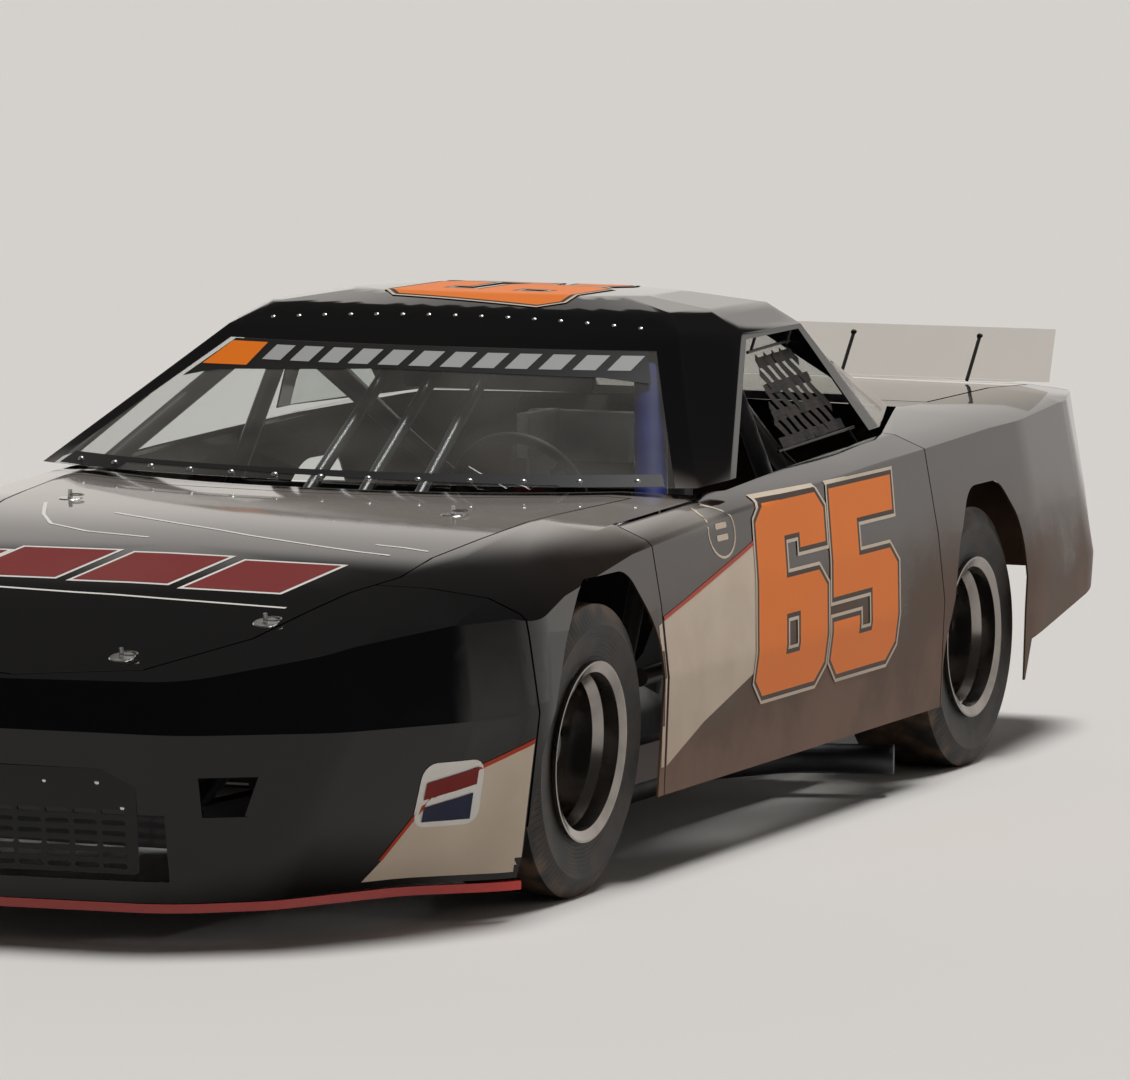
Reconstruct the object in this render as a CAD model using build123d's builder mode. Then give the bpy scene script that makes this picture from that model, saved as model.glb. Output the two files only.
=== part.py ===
from build123d import *
import math
import os

os.makedirs("parts", exist_ok=True)

# Stock car with a low bolted-on body, in millimetres.
# The front of the car points along -Y, its left (driver's) side along +X, the ground is Z = 0.

# Running gear
WHEELBASE = 2580
FRONT_AXLE_Y = -1320
REAR_AXLE_Y = FRONT_AXLE_Y + WHEELBASE
HALF_TRACK = 812
TYRE_RADIUS = 338
TYRE_WIDTH = 254
BEAD_RADIUS = 190
RIM_LIP_RADIUS = 209
RIM_WALL = 5
LUG_CIRCLE = 130
LUG_COUNT = 5
STATIC_CAMBER = 3
KINGPIN_X = 650
KINGPIN_TILT = 6

# Body
BODY_HALF_WIDTH = 990
NOSE_Y = -2440
TAIL_Y = 2450
PANEL = 5
PANEL_GAP = 6
LID_GAP = 10
BELT_Z = 866
DOOR_FRONT_Y = -975
DOOR_REAR_Y = 905
DOOR_BOTTOM_Z = 195
LIP_Z = 90
NOSE_REAR_Y = -1700
HOOD_REAR_Y = -640
DECK_FRONT_Y = 1560
DECK_REAR_Y = 2368
ROOF_Z = 1268
TUBE = 45
FLOOR_Z = 150
FLOOR_SHEET = 3
SEAT_X = 340

# Body plan at four heights, from the nose to the tail.
# columns: x and y at the lip, at the crease, at the shoulder and above the top
PLAN_ROWS = [
    ((380, -2362), (430, -2412), (400, -2335), (380, -2170)),
    ((560, -2215), (720, -2215), (660, -2150), (600, -2020)),
    ((730, -1900), (895, -1930), (860, -1900), (800, -1850)),
    ((972, -1690), (985, -1690), (965, -1680), (905, -1670)),
    ((975, 0), (BODY_HALF_WIDTH, 0), (972, 0), (912, 0)),
    ((975, 1650), (BODY_HALF_WIDTH, 1650), (970, 1650), (905, 1650)),
    ((930, 2200), (950, 2200), (935, 2150), (870, 2130)),
    ((830, 2420), (860, 2440), (848, 2410), (800, 2385)),
]
PLAN_RADII = [300, 250, 300, 300, 6000, 1500, 500, 60]
# columns: height, nose centre y, tail centre y
PLAN_LEVELS = [(LIP_Z, -2400, 2435), (470, NOSE_Y, TAIL_Y), (640, -2372, 2425), (980, -2200, 2400)]

# Side view of the body's top, nose to tail.
# columns: y, z
TOP_LINE = [
    (-2500, 520), (-2400, 575), (-2200, 625), (-1900, 700), (-1500, 790), (-1080, 838),
    (-500, BELT_Z + 2), (470, 900), (1400, 925), (2050, 930), (2500, 912),
]
# The top falls away towards the sides.
# columns: x, fall of the top there
TOP_CROWN = [(0, 0), (700, 6), (850, 22), (930, 55), (1000, 125)]


def body_form(inset):
    # The outside of the whole lower body, or the same form with every face moved in by inset.
    with BuildPart() as sides:
        for level, (height, nose_y, tail_y) in enumerate(PLAN_LEVELS):
            points = [(0, nose_y + inset)]
            for row in PLAN_ROWS:
                x, y = row[level]
                scale = 1 - inset / BODY_HALF_WIDTH
                shift = inset if y < NOSE_REAR_Y - 50 else (-inset if y > 2180 else 0)
                points.append((x * scale, y + shift))
            points.append((0, tail_y - inset))
            with BuildSketch(Plane.XY.offset(height)):
                with BuildLine():
                    FilletPolyline(*points, radius=PLAN_RADII)
                    mirror(about=Plane.YZ)
                make_face()
        loft(ruled=True)
    with BuildPart() as under_top:
        for x, fall in TOP_CROWN:
            with BuildSketch(Plane.YZ.offset(x)):
                with BuildLine():
                    Polyline(
                        *[(y, z - fall - inset) for y, z in TOP_LINE],
                        (TOP_LINE[-1][0], 0), (TOP_LINE[0][0], 0), close=True,
                    )
                make_face()
        loft(ruled=True)
        mirror(about=Plane.YZ)
    with BuildPart() as form:
        add(sides.part)
        add(under_top.part, mode=Mode.INTERSECT)
    return form.part


# Wheel openings seen from the side.
# columns: y from the axle, z
FRONT_OPENING = [(-405, 0), (-352, 400), (-200, 625), (-75, 738), (190, 738), (345, 560), (332, 330), (310, 0)]
REAR_OPENING = [(-352, 0), (-345, 330), (-205, 600), (-80, 738), (150, 738), (290, 600), (285, 380), (300, 0)]
OPENING_RADII = [200, 260, 120, 120, 200, 200]

# Roof and posts, lofted between four heights.
# columns: height, front centre y, then half-outline corners from the front to the rear, rear centre y
ROOF_LEVELS = [
    (845, -850, [(890, -548), (905, -380), (862, 905), (705, 1500)], 1545),
    (1187, -45, [(612, 22), (692, 235), (692, 640), (545, 850)], 895),
    (1238, 80, [(545, 130), (600, 270), (600, 640), (470, 760)], 800),
    (ROOF_Z, 225, [(370, 265), (400, 340), (400, 560), (300, 640)], 655),
]
FOOT_LAP = 14
foot_share = (890 - ROOF_LEVELS[0][0]) / (ROOF_LEVELS[1][0] - ROOF_LEVELS[0][0])
roof_foot = []
for low, high in zip(ROOF_LEVELS[0][2], ROOF_LEVELS[1][2]):
    x, y = (a + (b - a) * foot_share for a, b in zip(low, high))
    roof_foot.append((x - FOOT_LAP, y + (FOOT_LAP if y < -450 else 0) - (FOOT_LAP if y > 1000 else 0)))
roof_foot_front = ROOF_LEVELS[0][1] + (ROOF_LEVELS[1][1] - ROOF_LEVELS[0][1]) * foot_share + FOOT_LAP
roof_foot_rear = ROOF_LEVELS[0][3] + (ROOF_LEVELS[1][3] - ROOF_LEVELS[0][3]) * foot_share - FOOT_LAP


body_outside = body_form(0)
body_inside = body_form(PANEL)

with BuildPart() as body_shell:
    add(body_outside)
    add(body_inside, mode=Mode.SUBTRACT)
    # The body is open below: the lip at the nose, the sills, and the short tail
    with BuildSketch(Plane.YZ):
        with BuildLine():
            Polyline((-2600, 0), (-2600, LIP_Z), (NOSE_REAR_Y, LIP_Z + 8), (NOSE_REAR_Y, DOOR_BOTTOM_Z),
                     (REAR_AXLE_Y + 300, DOOR_BOTTOM_Z), (REAR_AXLE_Y + 340, 300), (2600, 424), (2600, 0), close=True)
        make_face()
    extrude(amount=1100, both=True, mode=Mode.SUBTRACT)
    # Wheel openings
    for axle_y, opening in ((FRONT_AXLE_Y, FRONT_OPENING), (REAR_AXLE_Y, REAR_OPENING)):
        with BuildSketch(Plane.YZ):
            with BuildLine():
                arch = FilletPolyline(*[(axle_y + dy, z) for dy, z in opening], radius=OPENING_RADII)
                Line(arch @ 1, arch @ 0)
            make_face()
        extrude(amount=1100, both=True, mode=Mode.SUBTRACT)
    # The cockpit opening, a little inside the foot of the roof
    with BuildSketch(Plane.XY):
        with BuildLine():
            ThreePointArc(roof_foot[0], (0, roof_foot_front), (-roof_foot[0][0], roof_foot[0][1]))
            Polyline(*roof_foot)
            ThreePointArc(roof_foot[-1], (0, roof_foot_rear), (-roof_foot[-1][0], roof_foot[-1][1]))
            Polyline(*[(-x, y) for x, y in roof_foot])
        make_face()
    extrude(amount=1000, mode=Mode.SUBTRACT)

# Hood seam in plan.
# columns: x, y
HOOD_SEAM = [(0, -2372), (290, -2300), (450, -2080), (540, -1760), (610, -1640), (650, -1280), (748, -620)]


def panel(shell, both_ways, profile, plane, gap):
    # The stretch of the shell inside a closed profile drawn on a plane, less the gap round it.
    with BuildPart() as piece:
        add(shell)
        with BuildSketch(plane):
            with BuildLine():
                Polyline(*profile, close=True)
            make_face()
            offset(amount=-gap / 2, kind=Kind.INTERSECTION, mode=Mode.REPLACE)
        extrude(amount=1200, both=both_ways, mode=Mode.INTERSECT)
    return piece.part


# Rear edge of the hood, ahead of the windshield's foot.
# columns: x, y
HOOD_REAR = [(748, -620), (400, -760), (0, -816)]
COWL_REAR_Y = -400
with BuildSketch() as hood_plan:
    with BuildLine():
        Polyline(*HOOD_SEAM)
        Polyline(*HOOD_REAR)
        mirror(about=Plane.YZ)
    make_face()
with BuildSketch() as cowl_plan:
    with BuildLine():
        Polyline(*HOOD_REAR)
        Polyline(HOOD_REAR[0], (HOOD_REAR[0][0], COWL_REAR_Y), (0, COWL_REAR_Y))
        mirror(about=Plane.YZ)
    make_face()

with BuildPart() as hood:
    add(body_shell.part)
    with BuildSketch(Plane.XY.offset(500)):
        add(hood_plan.sketch)
        offset(amount=-PANEL_GAP / 2, kind=Kind.INTERSECTION, mode=Mode.REPLACE)
    extrude(amount=600, mode=Mode.INTERSECT)
hood.part.label = "hood"
export_step(hood.part, "parts/hood.step")

with BuildPart() as hood_void:
    with BuildSketch(Plane.XY.offset(500)):
        add(hood_plan.sketch)
        offset(amount=PANEL_GAP / 2, kind=Kind.INTERSECTION, mode=Mode.REPLACE)
    extrude(amount=600)
with BuildPart() as cowl_void:
    with BuildSketch(Plane.XY.offset(500)):
        add(cowl_plan.sketch)
    extrude(amount=600)

# Fixed strip between the hood and the foot of the windshield
with BuildPart() as cowl:
    add(body_shell.part)
    add(cowl_void.part, mode=Mode.INTERSECT)
    add(hood_void.part, mode=Mode.SUBTRACT)
cowl.part.label = "cowl"
export_step(cowl.part, "parts/cowl.step")

SIDE_PLANE = Plane.YZ
DECK_HALF_WIDTH = 700
with BuildPart() as deck_void:
    with Locations((0, (DECK_FRONT_Y + DECK_REAR_Y) / 2, 700)):
        Box(2 * DECK_HALF_WIDTH, DECK_REAR_Y - DECK_FRONT_Y, 600, align=(Align.CENTER, Align.CENTER, Align.MIN))

NOSE_PROFILE = [(-2600, 0), (-2600, 1000), (NOSE_REAR_Y, 1000), (NOSE_REAR_Y, 0)]
with BuildPart() as nose:
    add(panel(body_shell.part, True, NOSE_PROFILE, SIDE_PLANE, PANEL_GAP))
    add(hood_void.part, mode=Mode.SUBTRACT)
    # Brake and radiator inlets in the front face
    with Locations((0, -2440, 215)):
        Box(760, 300, 150, mode=Mode.SUBTRACT)
    with GridLocations(1060, 1, 2, 1):
        with Locations((0, -2440, 330)):
            Box(150, 300, 90, mode=Mode.SUBTRACT)
nose.part.label = "nose"
export_step(nose.part, "parts/nose.step")

# Side panels.
# columns: name, profile in the side view as (y, z)
SIDE_PANELS = [
    ("fender", [(NOSE_REAR_Y, 0), (NOSE_REAR_Y, 1000), (-500, 1000), (-500, 838), (-960, 820), (-960, 0)]),
    ("door", [(-960, 0), (-960, 820), (-500, 838), (-500, 1000), (DOOR_REAR_Y, 1000), (DOOR_REAR_Y, 0)]),
    ("quarter", [(DOOR_REAR_Y, 0), (DOOR_REAR_Y, 1000), (DECK_REAR_Y, 1000), (DECK_REAR_Y, 0)]),
]
for name, profile in SIDE_PANELS:
    with BuildPart() as left_panel:
        add(panel(body_shell.part, False, profile, Plane.YZ, PANEL_GAP))
        add(hood_void.part, mode=Mode.SUBTRACT)
        add(cowl_void.part, mode=Mode.SUBTRACT)
        add(deck_void.part, mode=Mode.SUBTRACT)
    with BuildPart() as right_panel:
        add(left_panel.part)
        mirror(about=Plane.YZ, mode=Mode.REPLACE)
    left_panel.part.label = name + "_left"
    right_panel.part.label = name + "_right"
    export_step(left_panel.part, "parts/" + name + "_left.step")
    export_step(right_panel.part, "parts/" + name + "_right.step")

with BuildPart() as decklid:
    add(body_shell.part)
    with Locations((0, (DECK_FRONT_Y + DECK_REAR_Y) / 2, 700)):
        Box(
            2 * (DECK_HALF_WIDTH - LID_GAP), DECK_REAR_Y - DECK_FRONT_Y - 2 * LID_GAP, 600,
            align=(Align.CENTER, Align.CENTER, Align.MIN), mode=Mode.INTERSECT,
        )
decklid.part.label = "decklid"
export_step(decklid.part, "parts/decklid.step")

TAIL_PROFILE = [(DECK_REAR_Y, 0), (DECK_REAR_Y, 1000), (2600, 1000), (2600, 0)]
with BuildPart() as tail:
    add(panel(body_shell.part, True, TAIL_PROFILE, SIDE_PLANE, PANEL_GAP))
tail.part.label = "tail"
export_step(tail.part, "parts/tail.step")

# Red strip along the bottom edge of the nose
LIP_HEIGHT = 20
LIP_THICKNESS = 12
with BuildPart() as front_lip:
    with BuildSketch(Plane.XY.offset(LIP_Z - LIP_HEIGHT)):
        with BuildLine():
            FilletPolyline(*[(0, PLAN_LEVELS[0][1])] + [row[0] for row in PLAN_ROWS] + [(0, PLAN_LEVELS[0][2])],
                           radius=PLAN_RADII)
            mirror(about=Plane.YZ)
        make_face()
        offset(amount=-LIP_THICKNESS, mode=Mode.SUBTRACT)
    extrude(amount=LIP_HEIGHT)
    with Locations((0, NOSE_REAR_Y, 0)):
        Box(3000, 3000, 1000, align=(Align.CENTER, Align.MAX, Align.CENTER), mode=Mode.INTERSECT)
front_lip.part.label = "front_lip"
export_step(front_lip.part, "parts/front_lip.step")

# Clear spoiler blade leaning back on a slotted strip, with four braces behind it
SPOILER_HALF_WIDTH = 764
SPOILER_Y = 2345
SPOILER_BASE_Z = 922
SPOILER_HEIGHT = 150
SPOILER_LEAN = 20
spoiler_plane = Plane((0, SPOILER_Y, SPOILER_BASE_Z), x_dir=(1, 0, 0), z_dir=(0, 1, 0)).rotated((-SPOILER_LEAN, 0, 0))
with BuildPart() as spoiler:
    with BuildSketch(spoiler_plane):
        Rectangle(2 * SPOILER_HALF_WIDTH, SPOILER_HEIGHT, align=(Align.CENTER, Align.MAX))
    extrude(amount=5)
    with Locations((0, SPOILER_Y - 14, SPOILER_BASE_Z)):
        Box(1340, 34, 5)
spoiler.part.label = "spoiler"
export_step(spoiler.part, "parts/spoiler.step")

def roof_form(inset):
    # The roof and its posts as one solid form, with every wall moved in by inset.
    with BuildPart() as form:
        for height, front_y, corners, rear_y in ROOF_LEVELS:
            half = [(x - inset, y + (inset if i == 0 else -inset if i == 3 else 0))
                    for i, (x, y) in enumerate(corners)]
            level = height - (inset if height > 1200 else 0)
            with BuildSketch(Plane.XY.offset(level)):
                with BuildLine():
                    mirrored = [(-x, y) for x, y in half]
                    ThreePointArc(half[0], (0, front_y + inset), mirrored[0])
                    Polyline(*half)
                    ThreePointArc(half[3], (0, rear_y - inset), mirrored[3])
                    Polyline(*mirrored)
                make_face()
        loft(ruled=True)
    return form.part


ROOF_WALL = 5
with BuildPart() as greenhouse_shell:
    add(roof_form(0))
    add(roof_form(ROOF_WALL), mode=Mode.SUBTRACT)
    # Its foot seats on the body, along the belt
    with BuildSketch(Plane.YZ):
        with BuildLine():
            Polyline((-900, 0), (-900, 880), (-500, BELT_Z + 4), (470, 902), (1400, 930), (1700, 934), (1700, 0), close=True)
        make_face()
    extrude(amount=1100, both=True, mode=Mode.SUBTRACT)

GLASS_LAP = 4
WINDSHIELD = [(838, 860), (578, 1158)]
REAR_GLASS = [(600, 955), (455, 1150)]
with BuildPart() as windshield_void:
    with BuildSketch(Plane.XZ.offset(-150)):
        with BuildLine():
            Polyline(*WINDSHIELD, (-WINDSHIELD[1][0], WINDSHIELD[1][1]), (-WINDSHIELD[0][0], WINDSHIELD[0][1]), close=True)
        make_face()
    extrude(amount=1100)
with BuildPart() as rear_glass_void:
    with BuildSketch(Plane.XZ.offset(-860)):
        with BuildLine():
            Polyline(*REAR_GLASS, (-REAR_GLASS[1][0], REAR_GLASS[1][1]), (-REAR_GLASS[0][0], REAR_GLASS[0][1]), close=True)
        make_face()
    extrude(amount=-900)

SIDE_WINDOW = [(-290, 872), (245, 1172), (610, 1176), (770, 905)]
QUARTER_WINDOW = [(835, 915), (700, 1160), (760, 1160), (1180, 930)]
with BuildPart() as greenhouse:
    add(greenhouse_shell.part)
    add(windshield_void.part, mode=Mode.SUBTRACT)
    add(rear_glass_void.part, mode=Mode.SUBTRACT)
    for opening in (SIDE_WINDOW, QUARTER_WINDOW):
        with BuildSketch(Plane.YZ):
            with BuildLine():
                Polyline(*opening, close=True)
            make_face()
        extrude(amount=1100, both=True, mode=Mode.SUBTRACT)
greenhouse.part.label = "greenhouse"
export_step(greenhouse.part, "parts/greenhouse.step")

with BuildPart() as windshield:
    add(greenhouse_shell.part)
    add(windshield_void.part, mode=Mode.INTERSECT)
windshield.part.label = "windshield"
export_step(windshield.part, "parts/windshield.step")

with BuildPart() as rear_window:
    add(greenhouse_shell.part)
    add(rear_glass_void.part, mode=Mode.INTERSECT)
rear_window.part.label = "rear_window"
export_step(rear_window.part, "parts/rear_window.step")

with BuildPart() as quarter_windows:
    add(greenhouse_shell.part)
    with BuildSketch(Plane.YZ):
        with BuildLine():
            Polyline(*QUARTER_WINDOW, close=True)
        make_face()
    extrude(amount=1100, both=True, mode=Mode.INTERSECT)
quarter_windows.part.label = "quarter_windows"
export_step(quarter_windows.part, "parts/quarter_windows.step")

# Chassis: box-section rails.
# columns: start, end, of a rail that is mirrored to the other side
RAIL_HEIGHT = 90
RAIL_WIDTH = 50
SILL_X = 690
CLIP_X = 370
REAR_CLIP_X = 490
RAIL_Z = FLOOR_Z + RAIL_HEIGHT / 2
RAILS = [
    ((SILL_X, -790, RAIL_Z), (SILL_X, 830, RAIL_Z)),
    ((CLIP_X, -765, RAIL_Z), (CLIP_X, -1050, 235)),
    ((CLIP_X, -1035, 235), (CLIP_X, -1720, 235)),
    ((CLIP_X, -1705, 235), (330, -2200, 235)),
    ((CLIP_X, FRONT_AXLE_Y - 60, 235), (CLIP_X, FRONT_AXLE_Y - 60, 490)),
    ((CLIP_X, FRONT_AXLE_Y + 60, 235), (CLIP_X, FRONT_AXLE_Y + 60, 490)),
    ((REAR_CLIP_X, 790, RAIL_Z), (REAR_CLIP_X, 1010, 500)),
    ((REAR_CLIP_X, 990, 500), (REAR_CLIP_X, 1560, 500)),
    ((REAR_CLIP_X, 1540, 500), (REAR_CLIP_X, 2330, 470)),
]
# columns: y, z, half length, of a cross rail
CROSS_RAILS = [
    (-765, RAIL_Z, SILL_X), (800, RAIL_Z, SILL_X), (FRONT_AXLE_Y - 80, 175, CLIP_X),
    (-2180, 235, 340), (990, 500, REAR_CLIP_X), (1640, 498, REAR_CLIP_X), (2305, 470, REAR_CLIP_X),
]
with BuildPart() as frame:
    for start, end in RAILS:
        run = Vector(end) - Vector(start)
        with BuildSketch(Plane(origin=start, x_dir=(1, 0, 0), z_dir=run)):
            Rectangle(RAIL_WIDTH, RAIL_HEIGHT)
        extrude(amount=run.length)
    mirror(about=Plane.YZ)
    for y, z, half_length in CROSS_RAILS:
        with Locations((0, y, z)):
            Box(2 * half_length, RAIL_WIDTH, RAIL_HEIGHT)
frame.part.label = "frame"
export_step(frame.part, "parts/frame.step")

# Roll cage of round tube.
# columns: corner points of a bent tube, bend radius
HOOP_Y = 330
HALO_Z = 1150
BENT_TUBES = [
    ([(-SILL_X + 30, HOOP_Y, FLOOR_Z + RAIL_HEIGHT), (-770, HOOP_Y, 700), (-590, HOOP_Y, HALO_Z), (590, HOOP_Y, HALO_Z),
      (770, HOOP_Y, 700), (SILL_X - 30, HOOP_Y, FLOOR_Z + RAIL_HEIGHT)], 110),
    ([(-590, HOOP_Y, HALO_Z), (-560, 10, HALO_Z - 8), (560, 10, HALO_Z - 8), (590, HOOP_Y, HALO_Z)], 80),
]
# columns: start, end, of a straight tube that is mirrored to the other side
DASH_Y = -540
PAIRED_TUBES = [
    ((540, 10, HALO_Z - 8), (770, DASH_Y, 800)),
    ((770, DASH_Y, 800), (SILL_X, DASH_Y - 100, RAIL_Z)),
    ((770, DASH_Y, 800), (CLIP_X - 20, -1500, 560)),
    ((CLIP_X - 20, -1500, 560), (330, -2150, 270)),
    ((CLIP_X - 20, -1500, 560), (CLIP_X, -1500, 250)),
    ((540, HOOP_Y, HALO_Z - 20), (REAR_CLIP_X, 1500, 530)),
    ((765, HOOP_Y, 690), (790, DASH_Y + 20, 700)),
    ((745, HOOP_Y, 560), (790, DASH_Y - 10, 560)),
    ((720, HOOP_Y, 420), (760, DASH_Y - 50, 420)),
]
# columns: start, end, of a tube on one side or across
SINGLE_TUBES = [
    ((-770, DASH_Y, 800), (770, DASH_Y, 800)),
    ((-760, HOOP_Y, 740), (760, HOOP_Y, 740)),
    ((-560, HOOP_Y, HALO_Z - 30), (500, HOOP_Y, 300)),
    ((-REAR_CLIP_X, 1480, 560), (REAR_CLIP_X, 1480, 560)),
]
# Three thinner braces behind the windshield.
# columns: x at the top, x at the foot
BRACE = 32
WINDSHIELD_BRACES = [(-130, -150), (0, 0), (130, 150)]
with BuildPart() as roll_cage:
    for points, radius in BENT_TUBES:
        with BuildLine() as centre_line:
            FilletPolyline(*points, radius=radius)
        with BuildSketch(centre_line.line ^ 0):
            Circle(TUBE / 2)
        sweep(path=centre_line.line)
    for start, end in PAIRED_TUBES:
        run = Vector(end) - Vector(start)
        with BuildSketch(Plane(origin=start, z_dir=run)):
            Circle(TUBE / 2)
        extrude(amount=run.length)
    mirror(about=Plane.YZ)
    for start, end in SINGLE_TUBES:
        run = Vector(end) - Vector(start)
        with BuildSketch(Plane(origin=start, z_dir=run)):
            Circle(TUBE / 2)
        extrude(amount=run.length)
    for top_x, foot_x in WINDSHIELD_BRACES:
        top = Vector(top_x, 8, HALO_Z - 12)
        run = Vector(foot_x, DASH_Y + 4, 803) - top
        with BuildSketch(Plane(origin=top, z_dir=run)):
            Circle(BRACE / 2)
        extrude(amount=run.length)
    # Tubes end on the top faces of the rails
    for low_y, high_y, top in (
        (-1035, 835, RAIL_Z + RAIL_HEIGHT / 2), (-2300, -1035, 235 + RAIL_HEIGHT / 2), (985, 2400, 500 + RAIL_HEIGHT / 2),
    ):
        with Locations((0, (low_y + high_y) / 2, top)):
            Box(1600, high_y - low_y, 400, align=(Align.CENTER, Align.CENTER, Align.MAX), mode=Mode.SUBTRACT)
roll_cage.part.label = "roll_cage"
export_step(roll_cage.part, "parts/roll_cage.step")

# Sheet-metal tub: floor, tunnel, firewall and rear bulkhead
with BuildPart() as floor_pan:
    with Locations((0, 20, FLOOR_Z - 4)):
        Box(2 * SILL_X - RAIL_WIDTH - 6, 1540, FLOOR_SHEET, align=(Align.CENTER, Align.CENTER, Align.MAX))
floor_pan.part.label = "floor_pan"
export_step(floor_pan.part, "parts/floor_pan.step")

# Wheels. The profiles stand in the plane of the axle: first value along it, outboard positive,
# second the radius. The tyre is open towards the rim, which closes it.
TYRE_WALL = 14
with BuildPart() as tyre:
    with BuildSketch(Plane.XZ):
        with BuildLine():
            Polyline(
                (116, BEAD_RADIUS), (133, 292), (112, TYRE_RADIUS), (-112, TYRE_RADIUS), (-133, 292),
                (-116, BEAD_RADIUS), (-100, BEAD_RADIUS), (-106, TYRE_RADIUS - TYRE_WALL),
                (106, TYRE_RADIUS - TYRE_WALL), (100, BEAD_RADIUS), close=True,
            )
        make_face()
    revolve(axis=Axis.X)

# The rim: lips, bead seats, a drop centre, and a disc set deep inside
DISC_X = -28
DISC_THICKNESS = 6
HUB_BORE = 95
with BuildPart() as rim:
    with BuildSketch(Plane.XZ):
        with BuildLine():
            Polyline(
                (133, RIM_LIP_RADIUS), (120, RIM_LIP_RADIUS - 4), (119.5, BEAD_RADIUS - 0.5), (84, BEAD_RADIUS - 3),
                (66, 172), (-40, 172), (-66, BEAD_RADIUS - 3), (-119.5, BEAD_RADIUS - 0.5), (-120, RIM_LIP_RADIUS - 4),
                (-133, RIM_LIP_RADIUS), (-133, RIM_LIP_RADIUS - RIM_WALL), (-124, BEAD_RADIUS - RIM_WALL - 2),
                (-64, BEAD_RADIUS - 3 - RIM_WALL), (-38, 172 - RIM_WALL), (64, 172 - RIM_WALL),
                (86, BEAD_RADIUS - 3 - RIM_WALL), (124, BEAD_RADIUS - RIM_WALL - 2),
                (133, RIM_LIP_RADIUS - RIM_WALL), close=True,
            )
        make_face()
    revolve(axis=Axis.X)
    with BuildSketch(Plane.YZ.offset(DISC_X)):
        Circle(170)
        Circle(HUB_BORE, mode=Mode.SUBTRACT)
        with PolarLocations(LUG_CIRCLE, LUG_COUNT):
            Circle(9, mode=Mode.SUBTRACT)
    extrude(amount=DISC_THICKNESS)

# Wide five-lug hub with its brake disc
ROTOR_RADIUS = 138
SPINDLE_RADIUS = 21
with BuildPart() as hub:
    with BuildSketch(Plane.YZ.offset(DISC_X)):
        Circle(LUG_CIRCLE + 18)
    extrude(amount=-14)
    with BuildSketch(Plane.YZ.offset(DISC_X - 14)):
        Circle(62)
    extrude(amount=-50)
    with BuildSketch(Plane.YZ.offset(DISC_X - 60)):
        Circle(ROTOR_RADIUS)
    extrude(amount=-28)
    with BuildSketch(Plane.YZ.offset(DISC_X)):
        Circle(60)
    extrude(amount=62, taper=8)
    with BuildSketch(Plane.YZ.offset(DISC_X)):
        with PolarLocations(LUG_CIRCLE, LUG_COUNT):
            Circle(8)
    extrude(amount=26)
    with BuildSketch(Plane.YZ.offset(DISC_X - 100)):
        Circle(SPINDLE_RADIUS + 3)
    extrude(amount=72, mode=Mode.SUBTRACT)

# columns: name, x, y of the wheel centre, side, camber that leans the top outboard
WHEELS = [
    ("front_left", HALF_TRACK, FRONT_AXLE_Y, 1, STATIC_CAMBER),
    ("front_right", -HALF_TRACK, FRONT_AXLE_Y, -1, -STATIC_CAMBER),
    ("rear_left", HALF_TRACK, REAR_AXLE_Y, 1, 0),
    ("rear_right", -HALF_TRACK, REAR_AXLE_Y, -1, 0),
]


def wheel_plane(x, y, side, camber):
    # The plane a wheel piece is placed on: its own X points outboard along the leaning axle.
    lean = math.radians(camber)
    height = TYRE_RADIUS * math.cos(lean) + 112 * math.sin(abs(lean))
    axle = (side * math.cos(lean), 0, -math.sin(lean))
    up = (side * math.sin(lean), 0, math.cos(lean))
    return Plane((x, y, height), x_dir=axle, z_dir=up)


for name, x, y, side, camber in WHEELS:
    place = wheel_plane(x, y, side, camber)
    for piece_name, piece in (("tyre", tyre), ("rim", rim), ("hub", hub)):
        with BuildPart() as placed:
            add(place * piece.part)
        placed.part.label = piece_name + "_" + name
        export_step(placed.part, "parts/" + piece_name + "_" + name + ".step")

CALIPER_HALF = 42


def caliper_on(side):
    # A caliper over the edge of the disc, behind the axle, in the wheel's own place.
    with BuildPart() as caliper:
        with Locations((DISC_X - 77, side * 122, 0)):
            Box(82, 72, 2 * CALIPER_HALF)
        with Locations((DISC_X - 74, side * 96, 0)):
            Box(40, 100, 3 * CALIPER_HALF, mode=Mode.SUBTRACT)
        with Locations((DISC_X - 118, side * 70, 0)):
            Box(20, 130, 60)
    return caliper.part


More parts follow.
